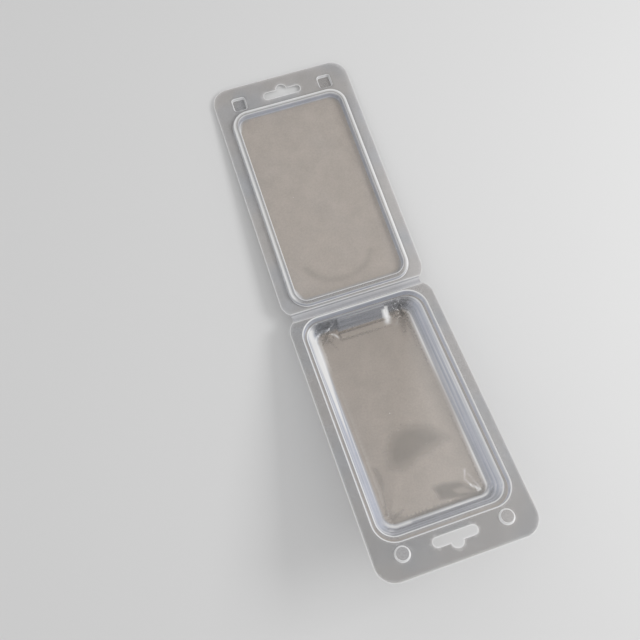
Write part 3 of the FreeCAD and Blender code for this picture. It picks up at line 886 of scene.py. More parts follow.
@dataclass
class TraySheet:
    """The tray: flange, step, ledge, well, ramp, floor and studs."""

    rim: Outline = Outline(47.0, 4.65, 171.35, 14.5)
    step_depth: float = 5.0
    step_lean: float = 0.8
    step_shape: WallShape = WallShape(0.9, 0.45, 6, 4, 4, top_white=1.0, foot_white=0.15)
    mouth: Outline = Outline(43.9, 6.65, 167.25, 12.0, -5.0)
    foot: Outline = Outline(37.0, 8.85, 158.55, 8.0, -16.0)
    well_shape: WallShape = WallShape(0.9, 5.0, 6, 14, 18, top_white=1.0, foot_white=0.0)
    ramp_top: float = 18.0
    ramp_foot: float = 19.5
    ramp_reach: float = 20.0
    ramp_start: float = 1.0
    ramp_front_top: float = 7.35
    ramp_front_foot: float = 13.45
    ramp_round: float = 1.5
    ramp_bend: float = 1.0
    ramp_toe: float = 0.6
    sill_start: float = 15.2
    sill_run: float = 6.8
    sill_height: float = 0.9
    sill_slope: float = 0.9
    sill_side_steps: int = 4
    sill_toe_steps: int = 26
    crown_height: float = 1.1
    crown_side: Spot = (31.5, 18.5)
    crown_heel: Spot = (22.0, 48.0)
    crown_toe: Spot = (153.0, 128.0)
    swell: float = 0.12
    flat_floor: Outline = Outline(34.2, 13.0, 154.8)
    floor_grid: Grid = Grid(
        (-35.2, 13.0), (1.2, 1.2), rows=122, columns=60, clearance=0.6, shift=0.6, stray=0.1
    )
    stud: SnapStud = SnapStud(1.9, 4.9, 4.9, 4.9, lean=0.5)
    # The tray's flange gets a little painted shade, more towards its far end.
    flange: Flange = Flange(Mark(painted_shade=0.1), wave_start=3.0, end_shade=0.35)
    creases: tuple[Crease, ...] = (
        Crease((33.5, 153.5), (20.0, 142.0), 0.7, 1.6),
        Crease((33.0, 155.5), (6.0, 150.5), 0.55, 1.5),
        Crease((33.0, 154.5), (11.0, 146.0), 0.5, 2.0),
        Crease((34.0, 151.0), (29.5, 128.0), 0.5, 1.6),
        Crease((-32.5, 155.0), (-24.0, 137.0), 0.6, 1.8),
        Crease((-31.5, 156.0), (-17.0, 147.0), 0.5, 1.4),
        Crease((32.0, 13.0), (24.0, 34.0), 0.6, 1.6),
        Crease((34.0, 15.0), (31.5, 45.0), 0.45, 1.4),
        Crease((-32.5, 13.0), (-23.0, 30.0), 0.6, 1.8),
        Crease((-34.0, 18.0), (-27.0, 24.0), 0.4, 1.4),
    )
    # A painted reflection on the floor: a darker crescent.
    painted_reflection_crescent: tuple[Spot, ...] = (
        (-20.0, 121.0), (-18.0, 111.0), (-12.0, 103.0), (-1.5, 99.0), (12.0, 102.0), (20.5, 109.5),
        (24.0, 115.0), (14.0, 117.7), (5.0, 119.0), (-5.3, 122.7), (-13.0, 124.3),
    )
    # Areas of painted light and painted shade on the floor.
    patches: tuple[PaintedPatch, ...] = (
        PaintedPatch(painted_reflection_crescent, 9.0, -0.6),
        PaintedPatch(((1.8, 143.7), (9, 143.3), (19.4, 145.5), (26.4, 152.2), (28.5, 157), (3.9, 152)), 3.5, -0.8),
        PaintedPatch(((12.4, 148.7), (20.5, 149.4), (26.6, 155.0), (16.0, 152.8)), 1.6, 0.55),
        PaintedPatch(((-32.0, 118.0), (-28.6, 120.0), (-28.4, 129.0), (-30.5, 134.0)), 3.0, -0.4),
        PaintedPatch(((27.0, 13.0), (32.0, 13.0), (28.5, 27.0), (25.0, 32.0)), 3.5, -0.35),
        PaintedPatch(((-34.0, 14.0), (-28.0, 14.0), (-26.0, 19.0), (-33.0, 20.0)), 3.0, -0.4),
        PaintedPatch(((-34.0, 148.0), (-27.0, 152.0), (-20.0, 157.0), (-34.0, 157.0)), 3.0, -0.3),
    )
    # Lines of painted highlight and painted shade on the floor: glints and darker lines at the folds, the
    # wall feet and round the sill.
    streaks: tuple[PaintedStreak, ...] = (
        PaintedStreak((32.8, 156.8), (26.0, 150.2), 0.75, 1.5),
        PaintedStreak((26.2, 150.4), (23.8, 145.7), 0.6, 0.5),
        PaintedStreak((26.2, 138.8), (23.8, 145.7), 0.6, 0.5),
        PaintedStreak((31.5, 154.5), (27.0, 142.0), 0.5, 0.35),
        PaintedStreak((33.0, 157.0), (4.0, 152.2), 0.7, -0.6),
        PaintedStreak((33.0, 158.2), (2.0, 156.0), 0.6, -0.5),
        PaintedStreak((33.6, 156.0), (33.0, 100.0), 0.7, -0.35),
        PaintedStreak((33.3, 16.0), (33.2, 60.0), 0.8, -0.35),
        PaintedStreak((34.6, 150.0), (34.8, 20.0), 0.5, 0.75),
        PaintedStreak((-36.4, 148.0), (-36.4, 88.0), 0.5, 0.6),
        PaintedStreak((-34.0, 150.0), (-33.5, 60.0), 1.6, 0.12),
        PaintedStreak((-36.0, 157.0), (-22.0, 150.6), 0.7, -0.6),
        PaintedStreak((-35.5, 156.0), (-31.0, 149.7), 0.6, 0.4),
        PaintedStreak((-35.0, 155.0), (-29.5, 131.0), 0.7, -0.45),
        PaintedStreak((31.0, 14.0), (27.5, 30.0), 0.8, -0.45),
        PaintedStreak((32.0, 15.0), (31.0, 44.0), 0.7, -0.4),
        PaintedStreak((29.5, 13.5), (23.0, 22.0), 0.8, 0.3),
        PaintedStreak((-30.0, 15.0), (-24.0, 27.0), 0.8, -0.4),
        PaintedStreak((-19.3, 20.6), (19.3, 20.8), 0.6, -0.9),
        PaintedStreak((-19.4, 15.2), (19.4, 15.4), 0.6, -0.9),
        PaintedStreak((-24.2, 12.9), (-20.4, 17.8), 0.5, 1.3),
        PaintedStreak((19.2, 12.6), (17.8, 17.6), 2.1, 2.0),
    )
    # Crinkled spots, whose crinkles get painted glints and painted shade.
    pockets: tuple[Pocket, ...] = (
        Pocket(-28.5, 10.5, 6.0, 1.0),
        Pocket(29.0, 10.5, 6.5, 1.0),
        Pocket(-34.0, 155.0, 5.0, 0.45),
        Pocket(32.0, 155.0, 5.5, 0.45),
    )
    # Lines of painted light and painted shade along the walls, by share of their height.
    right_bands: tuple[PaintedBand, ...] = (
        PaintedBand(0.08, 0.07, 0.25),
        PaintedBand(0.2, 0.035, 0.65),
        PaintedBand(0.36, 0.03, -0.35),
        PaintedBand(0.47, 0.04, 0.35),
        PaintedBand(0.62, 0.05, -0.4),
        PaintedBand(0.8, 0.1, -0.5),
        PaintedBand(0.97, 0.025, 1.0),
    )
    left_bands: tuple[PaintedBand, ...] = (PaintedBand(0.08, 0.03, -0.4), PaintedBand(0.16, 0.04, 0.5), PaintedBand(0.88, 0.03, 0.5))
    toe_bands: tuple[PaintedBand, ...] = (
        PaintedBand(0.2, 0.08, 0.25),
        PaintedBand(0.42, 0.07, 0.45),
        PaintedBand(0.63, 0.08, -0.7),
        PaintedBand(0.85, 0.08, 1.0),
        PaintedBand(0.99, 0.02, -0.9),
    )
    heel_bands: tuple[PaintedBand, ...] = (
        PaintedBand(0.16, 0.04, 0.2),
        PaintedBand(0.3, 0.06, -0.2),
        PaintedBand(0.6, 0.05, 0.12),
        PaintedBand(0.75, 0.08, -0.3),
    )
    # Past the share steady_top of the wall's height the painted light varies softly round the well;
    # corner_blend is how far side and end lines blend at the corners.
    steady_top: float = 0.12
    corner_blend: float = 10.0
    # Painted highlights on the left wall and at the ramp's corner, and painted shade in the pockets beside
    # the ramp.
    left_painted_streak: PaintedLongGlint = PaintedLongGlint()
    left_painted_glints: tuple[PaintedGlint, ...] = (
        PaintedGlint((-42.0, 11.0, 0.35), (4.5, 3.6, 0.3), 1.6),
        PaintedGlint((0.0, 160.0, 0.8), (math.inf, 6.0, 0.15), 0.55),
    )
    heel_zone: float = 18.0
    ramp_painted_glint: PaintedGlint = PaintedGlint((18.8, 0.0, 0.76364), (2.1, math.inf, 0.30909), 2.0, power=4)
    pocket_painted_shade: PaintedBand = PaintedBand(0.75, 0.3, -0.25)
    # At the heel wall: less painted highlight, less painted bluish reflection and painted shade; painted
    # shade on the toe wall.
    heel_highlight_cut: float = 0.8
    heel_grey: float = 0.45
    heel_dark: float = 0.75
    toe_dark: float = 0.85
    wall_end: Spot = (0.92, 0.99)
    # Painted shade on the step's wall below its rim, beside the fold.
    step_dark: float = 0.5
    step_dark_s: Spot = (11.0, 7.0)
    step_dark_z: Spot = (-0.3, -0.9)

    def wall_mark(self, x: float, s: float, z: float, base: Mark) -> Mark:
        """The mark of a point on the well's wall.

        Args:
            x: place across the pack.
            s: distance from the fold.
            z: height.
            base: the mark that the wall's shape gives.

        Returns:
            The mark with the wall's lines and spots of painted light and painted shade.
        """
        fall = (self.mouth.z - z) / (self.mouth.z - self.foot.z)
        gap_side = between(self.mouth.half, self.foot.half, fall) - abs(x)
        gap_heel = s - between(self.mouth.heel, self.foot.heel, fall)
        gap_toe = between(self.mouth.toe, self.foot.toe, fall) - s
        side = clamp(0.5 + (min(gap_heel, gap_toe) - gap_side) / self.corner_blend)
        heel, toe = (1 - side, 0.0) if gap_heel < gap_toe else (0.0, 1 - side)
        light = 0.0
        for share, bands in (
            (side, self.right_bands if x > 0 else self.left_bands),
            (heel, self.heel_bands),
            (toe, self.toe_bands),
        ):
            light += share * sum(band.at(fall) for band in bands)
        # The painted light varies softly round the well below its top.
        if fall > self.steady_top:
            light *= 0.75 + 0.35 * math.sin(s * 0.06 + x * 0.05 + 4 * fall)
        low = rise(fall, *self.wall_end)
        mark = Mark(
            bend=base.bend * (1 - self.heel_highlight_cut * heel),
            wall=base.wall * (1 - self.heel_grey * heel) * (1 - low),
            floor=low,
            painted_shade=(self.heel_dark * heel + self.toe_dark * toe) * base.wall,
            crinkle_with_painted_light=self.crinkled(x, s),
        )
        return mark.lit(light + self.painted_light(x, s, fall))

    def painted_light(self, x: float, s: float, fall: float) -> float:
        """Painted light of the highlight lines and spots on one part of the wall, and painted shade in the
        pockets.

        Args:
            x: place across the pack.
            s: distance from the fold.
            fall: share of the wall's height.

        Returns:
            The painted light, or painted shade if it is negative.
        """
        light = 0.0
        if x < -self.ramp_reach:
            light += self.left_painted_streak.at(s, fall) + sum(painted_light.at(x, s, fall) for painted_light in self.left_painted_glints)
        if s < self.heel_zone and x > 0:
            light += self.ramp_painted_glint.at(x, s, fall)
        if s < self.heel_zone and abs(x) > self.ramp_reach:
            light += self.pocket_painted_shade.at(fall)
        return light

    def step_mark(self, s: float, z: float, base: Mark) -> Mark:
        """The mark of a point on the step's wall; beside the fold it gets painted shade below its rim and
        less painted highlight.
        """
        heel = rise(s, *self.step_dark_s) * rise(z, *self.step_dark_z)
        return replace(base, bend=base.bend * (1 - self.heel_highlight_cut * heel), painted_shade=self.step_dark * heel)

    def floor_mark(self, x: float, s: float) -> Mark:
        """The mark of a point on the floor, with its painted light and painted shade."""
        light = sum(area.at(x, s) for area in (*self.patches, *self.streaks))
        return Mark(floor=1.0, crinkle_with_painted_light=self.crinkled(x, s)).lit(light)

    def crinkled(self, x: float, s: float) -> float:
        """How crinkled the sheet is, which also sets its painted glints and shade: in the pockets beside
        the ramp and in the far corners.
        """
        return max(pocket.at(x, s) for pocket in self.pockets)

    def columns(self) -> tuple[float, ...]:
        """Places of the columns along the heel run, closer together round the ramp.

        Returns:
            Places across the pack; the outermost ones move in to the corners.
        """
        right = (17.0, 18.0, 18.5, 19.0, 19.5, 20.5, 22.0, 23.5, 25.0, 26.5, 99.0)
        middle = tuple(-15.0 + 3.0 * count for count in range(11))
        return tuple(-x for x in reversed(right)) + middle + right

    def step_ring(self, ring: list[Point], cuts: Divisions) -> list[Point]:
        """Pushes the middle of a heel run inwards where the ramp stands.

        Args:
            ring: a ring of the well's wall.
            cuts: the ring's divisions.

        Returns:
            The ring with the ramp in it.
        """
        changed = list(ring)
        for index, column in enumerate(cuts.heel[:-1]):
            _, s, z = ring[index]
            fall = max(0.0, self.mouth.z - z - self.ramp_start) / (
                self.mouth.z - self.foot.z - self.ramp_start
            )
            half = between(self.ramp_top, self.ramp_foot, fall)
            toe = self.ramp_toe * (max(0.0, self.foot.z + self.ramp_bend - z) / self.ramp_bend) ** 2
            inner = between(self.ramp_front_top, self.ramp_front_foot, fall) + toe - s
            away = abs(column)
            if away > self.ramp_reach or inner <= 0 or fall <= 0:
                continue
            bend = min(self.ramp_round, inner / 2)
            edge = {
                19.5: (half + 0.25, 0.04 * inner),
                19.0: (half, max(0.3 * inner, inner - 2 * bend)),
                18.5: (half - 0.05 * bend, inner - 0.7 * bend),
                18.0: (half - 0.35 * bend, inner - 0.22 * bend),
                17.0: (half - bend, inner),
            }
            new_x, push = edge.get(away, (away, inner))
            changed[index] = (math.copysign(new_x, column), s + push, z)
        return changed

    def floor_height(self, x: float, s: float) -> float:
        """Height of the floor: its crown, the sill by the ramp and the pinched folds.

        Args:
            x: place across the pack.
            s: distance from the fold.

        Returns:
            The height.
        """
        edge = min(rise(abs(x), *self.crown_side), rise(s, *self.crown_heel), rise(s, *self.crown_toe))
        crown = self.crown_height * (edge * edge * (3 - 2 * edge) * 0.5 + edge * 0.5)
        reach = min(self.ramp_foot - abs(x), self.ramp_front_foot + self.sill_run - s)
        sill = self.sill_height * clamp(reach / self.sill_slope)
        border = clamp(self.flat_floor.depth(x, s) / 2.0)
        folds = sum(crease.lift(x, s) for crease in self.creases)
        swell = self.swell * math.sin(x * 0.11 + 1.3) * math.sin(s * 0.07 + 0.4)
        return self.foot.z + max(crown, sill) + (folds + swell) * border

    def lay_floor(self, sheet: SheetMesh, rim: list[int]) -> None:
        """Fills the floor inside the foot of the wall.

        Args:
            sheet: the sheet to add to.
            rim: the loop at the foot of the wall.
        """
        sill: list[int] = []
        for shift, lift in ((0.0, 0.0), (self.sill_slope, self.sill_height)):
            wide, z = self.ramp_foot - shift, self.foot.z + lift
            near, far = self.sill_start, self.ramp_front_foot + self.sill_run - shift
            line = run((-wide, near, z), (-wide, far, z), self.sill_side_steps)
            line += run((-wide, far, z), (wide, far, z), self.sill_toe_steps)
            line += [*run((wide, far, z), (wide, near, z), self.sill_side_steps), (wide, near, z)]
            sill += sheet.add(line, [self.floor_mark(x, s) for x, s, _ in line])
        sheet.fill(rim, self.floor_grid, self.floor_height, self.floor_mark, spots=sill)

    def make(self, finish: bpy.types.Material) -> bpy.types.Object:
        """Builds the tray.

        Args:
            finish: the sheet's material.

        Returns:
            The piece.
        """
        sheet = SheetMesh()
        cuts = Divisions(self.columns())
        ledge = self.rim.inset(*[self.step_lean] * 3, self.rim.radius - self.step_lean, -self.step_depth)
        loops: list[list[int]] = []
        for points, mark in wall_rings(self.rim, ledge, self.step_shape, cuts):
            loops.append(sheet.add(points, [self.step_mark(s, z, mark) for _, s, z in points]))
        for points, mark in wall_rings(self.mouth, self.foot, self.well_shape, cuts):
            ring = self.step_ring(points, cuts)
            loops.append(sheet.add(ring, [self.wall_mark(*point, mark) for point in ring]))
        sheet.stitch(loops)
        self.lay_floor(sheet, loops[-1])
        self.flange.lay_out(sheet, [loops[0], *self.stud.form_pair(sheet)])
        LOG.info("tray sheet: %d points", len(sheet.points))
        lay = Lay(Half.TRAY)
        return sheet.build("tray_sheet", [lay.place(*point) for point in sheet.points], finish)


@dataclass
class LidSheet:
    """The lid: flange, bead, sunk panel and sockets; its bead is swept by Geometry Nodes."""

    bead_foot: Outline = Outline(46.3, 5.35, 170.65, 13.5)
    bead_lean: float = 0.5
    bead_height: float = 3.3
    bead_width: float = 3.5
    bead_rise: WallShape = WallShape(0.45, 0.9, 4, 3, 5, top_white=0.8, foot_white=1.0)
    bead_fall: WallShape = WallShape(0.9, 0.45, 5, 3, 4, top_white=1.0, foot_white=0.8)
    corner_steps: int = 11
    panel_depth: float = 1.7
    panel_lean: float = 0.85
    panel_flat: Outline = Outline(41.0, 10.5, 165.5)
    panel_grid: Grid = Grid((-41.0, 10.5), (2.0, 2.0), rows=80, columns=42, clearance=0.9, shift=1.0)
    swell: float = 0.12
    swell_reach: float = 8.0
    socket: SnapStud = SnapStud(-2.2, 5.25, 5.4, 2.2, lean=0.4)
    # The lid's flange is painted lighter: painted light, given as negative shade.
    flange: Flange = Flange(Mark(painted_shade=-0.35), wave_start=1.0)
    # Painted highlight on the bead: along its outer rise above rise_z, and on its inner wall by the heights
    # foot_z and inner_z.
    rise_white: float = 0.95
    rise_z: float = 1.8
    foot_z: float = -1.3
    inner_z: float = 1.2
    # The panel is painted lighter, with a faint arc of painted shade near the fold where a reflection ends.
    panel_tone: Mark = Mark(floor=0.85, painted_shade=-0.3)
    arc_middle: Spot = (-2.5, 40.0)
    arc_squash: float = 0.8
    arc_radius: float = 21.0
    arc_width: float = 2.2
    arc_shade: float = 0.28
    arc_end: float = 36.0

    def section(self) -> list[tuple[float, float, Mark]]:
        """The bead's section from the flange over its top and down to the panel.

        Returns:
            Distance inwards, height and mark of each point.
        """
        start, top = self.bead_lean + self.bead_width, self.bead_height
        up = self.bead_rise.section(self.bead_lean, top)
        down = self.bead_fall.section(self.panel_lean, top + self.panel_depth)
        line = [(step.inward, step.drop, step.mark) for step in up]
        line += [(start + step.inward, top - step.drop, step.mark) for step in down]
        return [(inward, z, Mark(mark.bend, mark.wall * 0.8)) for inward, z, mark in line]

    def sweep_tree(self) -> bpy.types.NodeTree:
        """Nodes that sweep a section round a rounded rectangle.

        Returns:
            The tree, with the rectangle's sizes as its named inputs.
        """
        tree = bpy.data.node_groups.new("bead_sweep", "GeometryNodeTree")
        tree.is_modifier = True
        kinds = {"Section": "Geometry", "Sheet": "Material", "Corner Steps": "Int"}
        kinds |= {label: "Float" for label in ("Width", "Length", "Middle", "Corner Radius")}
        for label, kind in kinds.items():
            tree.interface.new_socket(label, in_out="INPUT", socket_type=f"NodeSocket{kind}")
        tree.interface.new_socket("Bead", in_out="OUTPUT", socket_type="NodeSocketGeometry")
        wires = Wiring(tree)
        sizes = wires.add("NodeGroupInput", {}).outputs
        sides = {"Width": sizes["Width"], "Height": sizes["Length"]}
        frame_line = wires.add("GeometryNodeCurvePrimitiveQuadrilateral", sides).outputs[0]
        middle = wires.add("ShaderNodeCombineXYZ", {"Y": sizes["Middle"]}).outputs[0]
        moved = wires.add("GeometryNodeTransform", {"Geometry": frame_line, "Translation": middle})
        bends = {"Radius": sizes["Corner Radius"], "Count": sizes["Corner Steps"]}
        rounded = wires.add("GeometryNodeFilletCurve", {"Curve": moved.outputs[0], **bends}, mode="POLY")
        upright = wires.add("GeometryNodeSetCurveNormal", {"Curve": rounded.outputs[0]}, mode="Z_UP")
        profile = wires.add("GeometryNodeMeshToCurve", {"Mesh": sizes["Section"]})
        lines = {"Curve": upright.outputs[0], "Profile Curve": profile.outputs[0]}
        swept = wires.add("GeometryNodeCurveToMesh", lines)
        real = wires.add("GeometryNodeRealizeInstances", {"Geometry": swept.outputs[0]})
        dress = {"Geometry": real.outputs[0], "Material": sizes["Sheet"]}
        wires.add("NodeGroupOutput", {"Bead": wires.add("GeometryNodeSetMaterial", dress).outputs[0]})
        return tree

    def sweep_bead(self, sheet: SheetMesh, finish: bpy.types.Material) -> tuple[list[int], list[int]]:
        """Sweeps the bead and adds it to the sheet.

        Args:
            sheet: the sheet to add to.
            finish: the sheet's material.

        Returns:
            The loops at its foot on the flange and at the foot of the panel's wall.
        """
        line = self.section()
        mesh = bpy.data.meshes.new("bead_section")
        steps = [(index, index + 1) for index in range(len(line) - 1)]
        mesh.from_pydata([(-inward, -z, 0.0) for inward, z, _ in line], steps, [])
        bead = put("bead", mesh)
        sweep = bead.modifiers.new("sweep", "NODES")
        sweep.node_group = self.sweep_tree()
        foot = self.bead_foot
        sizes = {
            "Width": 2 * foot.half,
            "Length": foot.toe - foot.heel,
            "Middle": (foot.toe + foot.heel) / 2,
            "Corner Radius": foot.radius,
            "Corner Steps": self.corner_steps,
            "Sheet": finish,
        }
        for socket in sweep.node_group.interface.items_tree:
            if socket.name in sizes:
                sweep[socket.identifier] = sizes[socket.name]
        settle(bead)
        count = len(line)
        places = [tuple(vertex.co) for vertex in bead.data.vertices]
        marks = [self.bead_mark(x, s, *line[index % count]) for index, (x, s, _) in enumerate(places)]
        numbers = sheet.add(places, marks)
        sheet.faces.extend(tuple(numbers[v] for v in face.vertices) for face in bead.data.polygons)
        bpy.data.objects.remove(bead)
        LOG.info("bead: %d points along its frame", len(places) // count)
        return numbers[::count], numbers[count - 1 :: count]

    def bead_mark(self, x: float, s: float, inward: float, z: float, base: Mark) -> Mark:
        """The mark of a point of the bead: painted highlight along its outer rise and its inner wall.

        Args:
            x: place across the pack.
            s: distance from the fold.
            inward: distance from the bead's foot on the flange.
            z: height.
            base: the mark that the section gives.

        Returns:
            The mark at that place of the frame.
        """
        near = rise(max(-x - 36.0, 12.0 - s), 0.0, 6.0) * rise(s, 168.0, 158.0)
        heel = rise(s, 14.0, 8.0)
        if inward < self.bead_lean + self.bead_width / 2:
            top = between(self.rise_white, 0.3 * base.bend, heel)
            return replace(base, bend=top if z > self.rise_z else base.bend * (0.7 + 0.5 * heel))
        if z < self.foot_z:
            return replace(base, bend=0.1 + 0.9 * near * (1 - 0.7 * heel))
        # Inner wall: painted highlight that changes near the left side and the fold, and a little painted
        # shade.
        extra = 0.6 * near * (1 - heel) if z < self.inner_z else 0.0
        bend = min(1.0, base.bend * (0.5 - 0.3 * near + heel) + extra)
        return replace(base, bend=bend, wall=base.wall * (1 - 0.4 * near), painted_shade=0.15)

    def panel_mark(self, x: float, s: float) -> Mark:
        """The mark of the panel, painted lighter, with a faint arc of painted shade near the fold where a
        reflection ends.

        Args:
            x: place across the pack.
            s: distance from the fold.

        Returns:
            The mark.
        """
        middle_x, middle_s = self.arc_middle
        reach = math.hypot((x - middle_x) * self.arc_squash, s - middle_s)
        shade = self.arc_shade * hump(reach, self.arc_radius, self.arc_width) if s < self.arc_end else 0.0
        return replace(self.panel_tone, painted_shade=self.panel_tone.painted_shade + shade)

    def panel_height(self, x: float, s: float) -> float:
        """Height of the panel with its slight drum-like swell."""
        swell = self.swell * math.sin(x * 0.07 + 0.6) * math.sin(s * 0.045 + 0.9)
        return swell * clamp(self.panel_flat.depth(x, s) / self.swell_reach) - self.panel_depth

    def make(self, finish: bpy.types.Material) -> bpy.types.Object:
        """Builds the lid.

        Args:
            finish: the sheet's material.

        Returns:
            The piece.
        """
        sheet = SheetMesh()
        outer, inner = self.sweep_bead(sheet, finish)
        sheet.fill(inner, self.panel_grid, self.panel_height, self.panel_mark)
        self.flange.lay_out(sheet, [outer, *self.socket.form_pair(sheet)])
        LOG.info("lid sheet: %d points", len(sheet.points))
        lay = Lay(Half.LID)
        return sheet.build("lid_sheet", [lay.place(*point) for point in sheet.points], finish)


@dataclass
class FoldingStrip:
    """The trough between the two creases, which bends as the lid turns.

    A point of its slope has a share of the side's run, a share of the dip and the whiteness of its painted
    highlight. A point of its floor has a share of the way from the middle to the side and the whiteness of
    its painted highlight.
    """

    crease: float = CREASE
    dip: float = 1.6
    side: float = 1.2
    half: float = 50.2
    waist: float = 0.7
    columns: int = 60
    slope: tuple[Point, ...] = (
        (0.0, 0.0, 1.0), (0.1, 0.12, 0.6), (0.4286, 0.5, 0.0), (0.8286, 0.88, 0.1), (1.0, 0.97, 0.4),
    )
    floor: tuple[Spot, ...] = ((0.6, 0.15), (0.3, 0.1), (0.0, 0.0))

    def section(self) -> list[tuple[Half, float, float, float]]:
        """The trough's section from the tray's crease to the lid's.

        Returns:
            Half, distance from the fold, height and painted highlight whiteness of each point.
        """
        line = [(self.crease - self.side * way, -self.dip * fall, white) for way, fall, white in self.slope]
        line += [((self.crease - self.side) * way, -self.dip, white) for way, white in self.floor]
        back = [(Half.LID, *step) for step in reversed(line[:-1])]
        return [(Half.TRAY, *step) for step in line] + back

    def make(self, finish: bpy.types.Material) -> bpy.types.Object:
        """Builds the strip.

        Args:
            finish: the sheet's material.

        Returns:
            The piece.
        """
        sheet = SheetMesh()
        rows: list[list[int]] = []
        places: list[Vector] = []
        line = self.section()
        for index, (half, s, z, white) in enumerate(line):
            wide = self.half - self.waist * math.sin(math.pi * index / (len(line) - 1))
            xs = [between(-wide, wide, column / self.columns) for column in range(self.columns + 1)]
            places += [Lay(half).place(x, s, z) for x in xs]
            # Each row gets its painted highlight and a little painted bluish reflection.
            rows.append(sheet.add([(x, half.value * s, z) for x in xs], [Mark(white, wall=0.3)] * len(xs)))
        for low, high in zip(rows, rows[1:]):
            for column in range(self.columns):
                sheet.faces.append((low[column], low[column + 1], high[column + 1], high[column]))
        return sheet.build("folding_strip", places, finish)


@dataclass
class Wiring:
    """Adds nodes to a tree and joins them up."""

    tree: bpy.types.NodeTree

    def add(self, kind: str, inputs: dict[str | int, Value], **settings: object) -> bpy.types.Node:
        """Adds a node.

        Args:
            kind: what kind of node it is.
            inputs: for each input, a socket to link to it or a value of its own.
            **settings: the node's own settings.

        Returns:
            The node.
        """
        node = self.tree.nodes.new(kind)
        for key, value in settings.items():
            setattr(node, key, value)
        for key, value in inputs.items():
            if isinstance(value, bpy.types.NodeSocket):
                self.tree.links.new(value, node.inputs[key])
            else:
                node.inputs[key].default_value = value
        return node


@dataclass
class ToneWiring(Wiring):
    """Nodes that make tones out of the sheet's marks and of noise on the flat sheet."""

    def read(self, key: str, output: str = "Fac") -> bpy.types.NodeSocket:
        """One of the sheet's attributes."""
        return self.add("ShaderNodeAttribute", {}, attribute_name=key).outputs[output]

    def noise(self, scale: Point, detail: float, twist: float = 0.0) -> bpy.types.NodeSocket:
        """Noise on the flat sheet.

        Args:
            scale: waves per metre across, along and up.
            detail: how many finer waves are added.
            twist: how far the waves are distorted.

        Returns:
            The noise.
        """
        place = self.add("ShaderNodeMapping", {"Vector": self.read("flat", "Vector"), "Scale": scale})
        inputs = {"Vector": place.outputs[0], "Scale": 1.0, "Detail": detail, "Distortion": twist}
        return self.add("ShaderNodeTexNoise", inputs).outputs["Fac"]

    def ranged(self, value: Value, *limits: float) -> bpy.types.NodeSocket:
        """A value brought from one range (low, high) into another, and kept inside it."""
        inputs = dict(zip(("From Min", "From Max", "To Min", "To Max"), limits))
        return self.add("ShaderNodeMapRange", {"Value": value, **inputs}).outputs[0]

    def product(self, first: Value, last: Value) -> bpy.types.NodeSocket:
        """Two values multiplied."""
        return self.add("ShaderNodeMath", {0: first, 1: last}, operation="MULTIPLY").outputs[0]

    def total(self, first: Value, last: Value, clamped: bool = False) -> bpy.types.NodeSocket:
        """Two values added, and kept between 0 and 1 where that is asked for."""
        node = self.add("ShaderNodeMath", {0: first, 1: last}, operation="ADD", use_clamp=clamped)
        return node.outputs[0]

    def mix(self, first: Value, last: Value, share: Value, way: str = "MIX") -> bpy.types.NodeSocket:
        """Mixes two colours.

        Args:
            first: colour at a share of 0.
            last: colour at a share of 1.
            share: the share.
            way: how the last colour goes on the first.

        Returns:
            The mixed colour.
        """
        base, top = ((*colour, 1.0) if isinstance(colour, tuple) else colour for colour in (first, last))
        inputs = {0: share, 6: base, 7: top}
        return self.add("ShaderNodeMix", inputs, data_type="RGBA", blend_type=way).outputs[2]


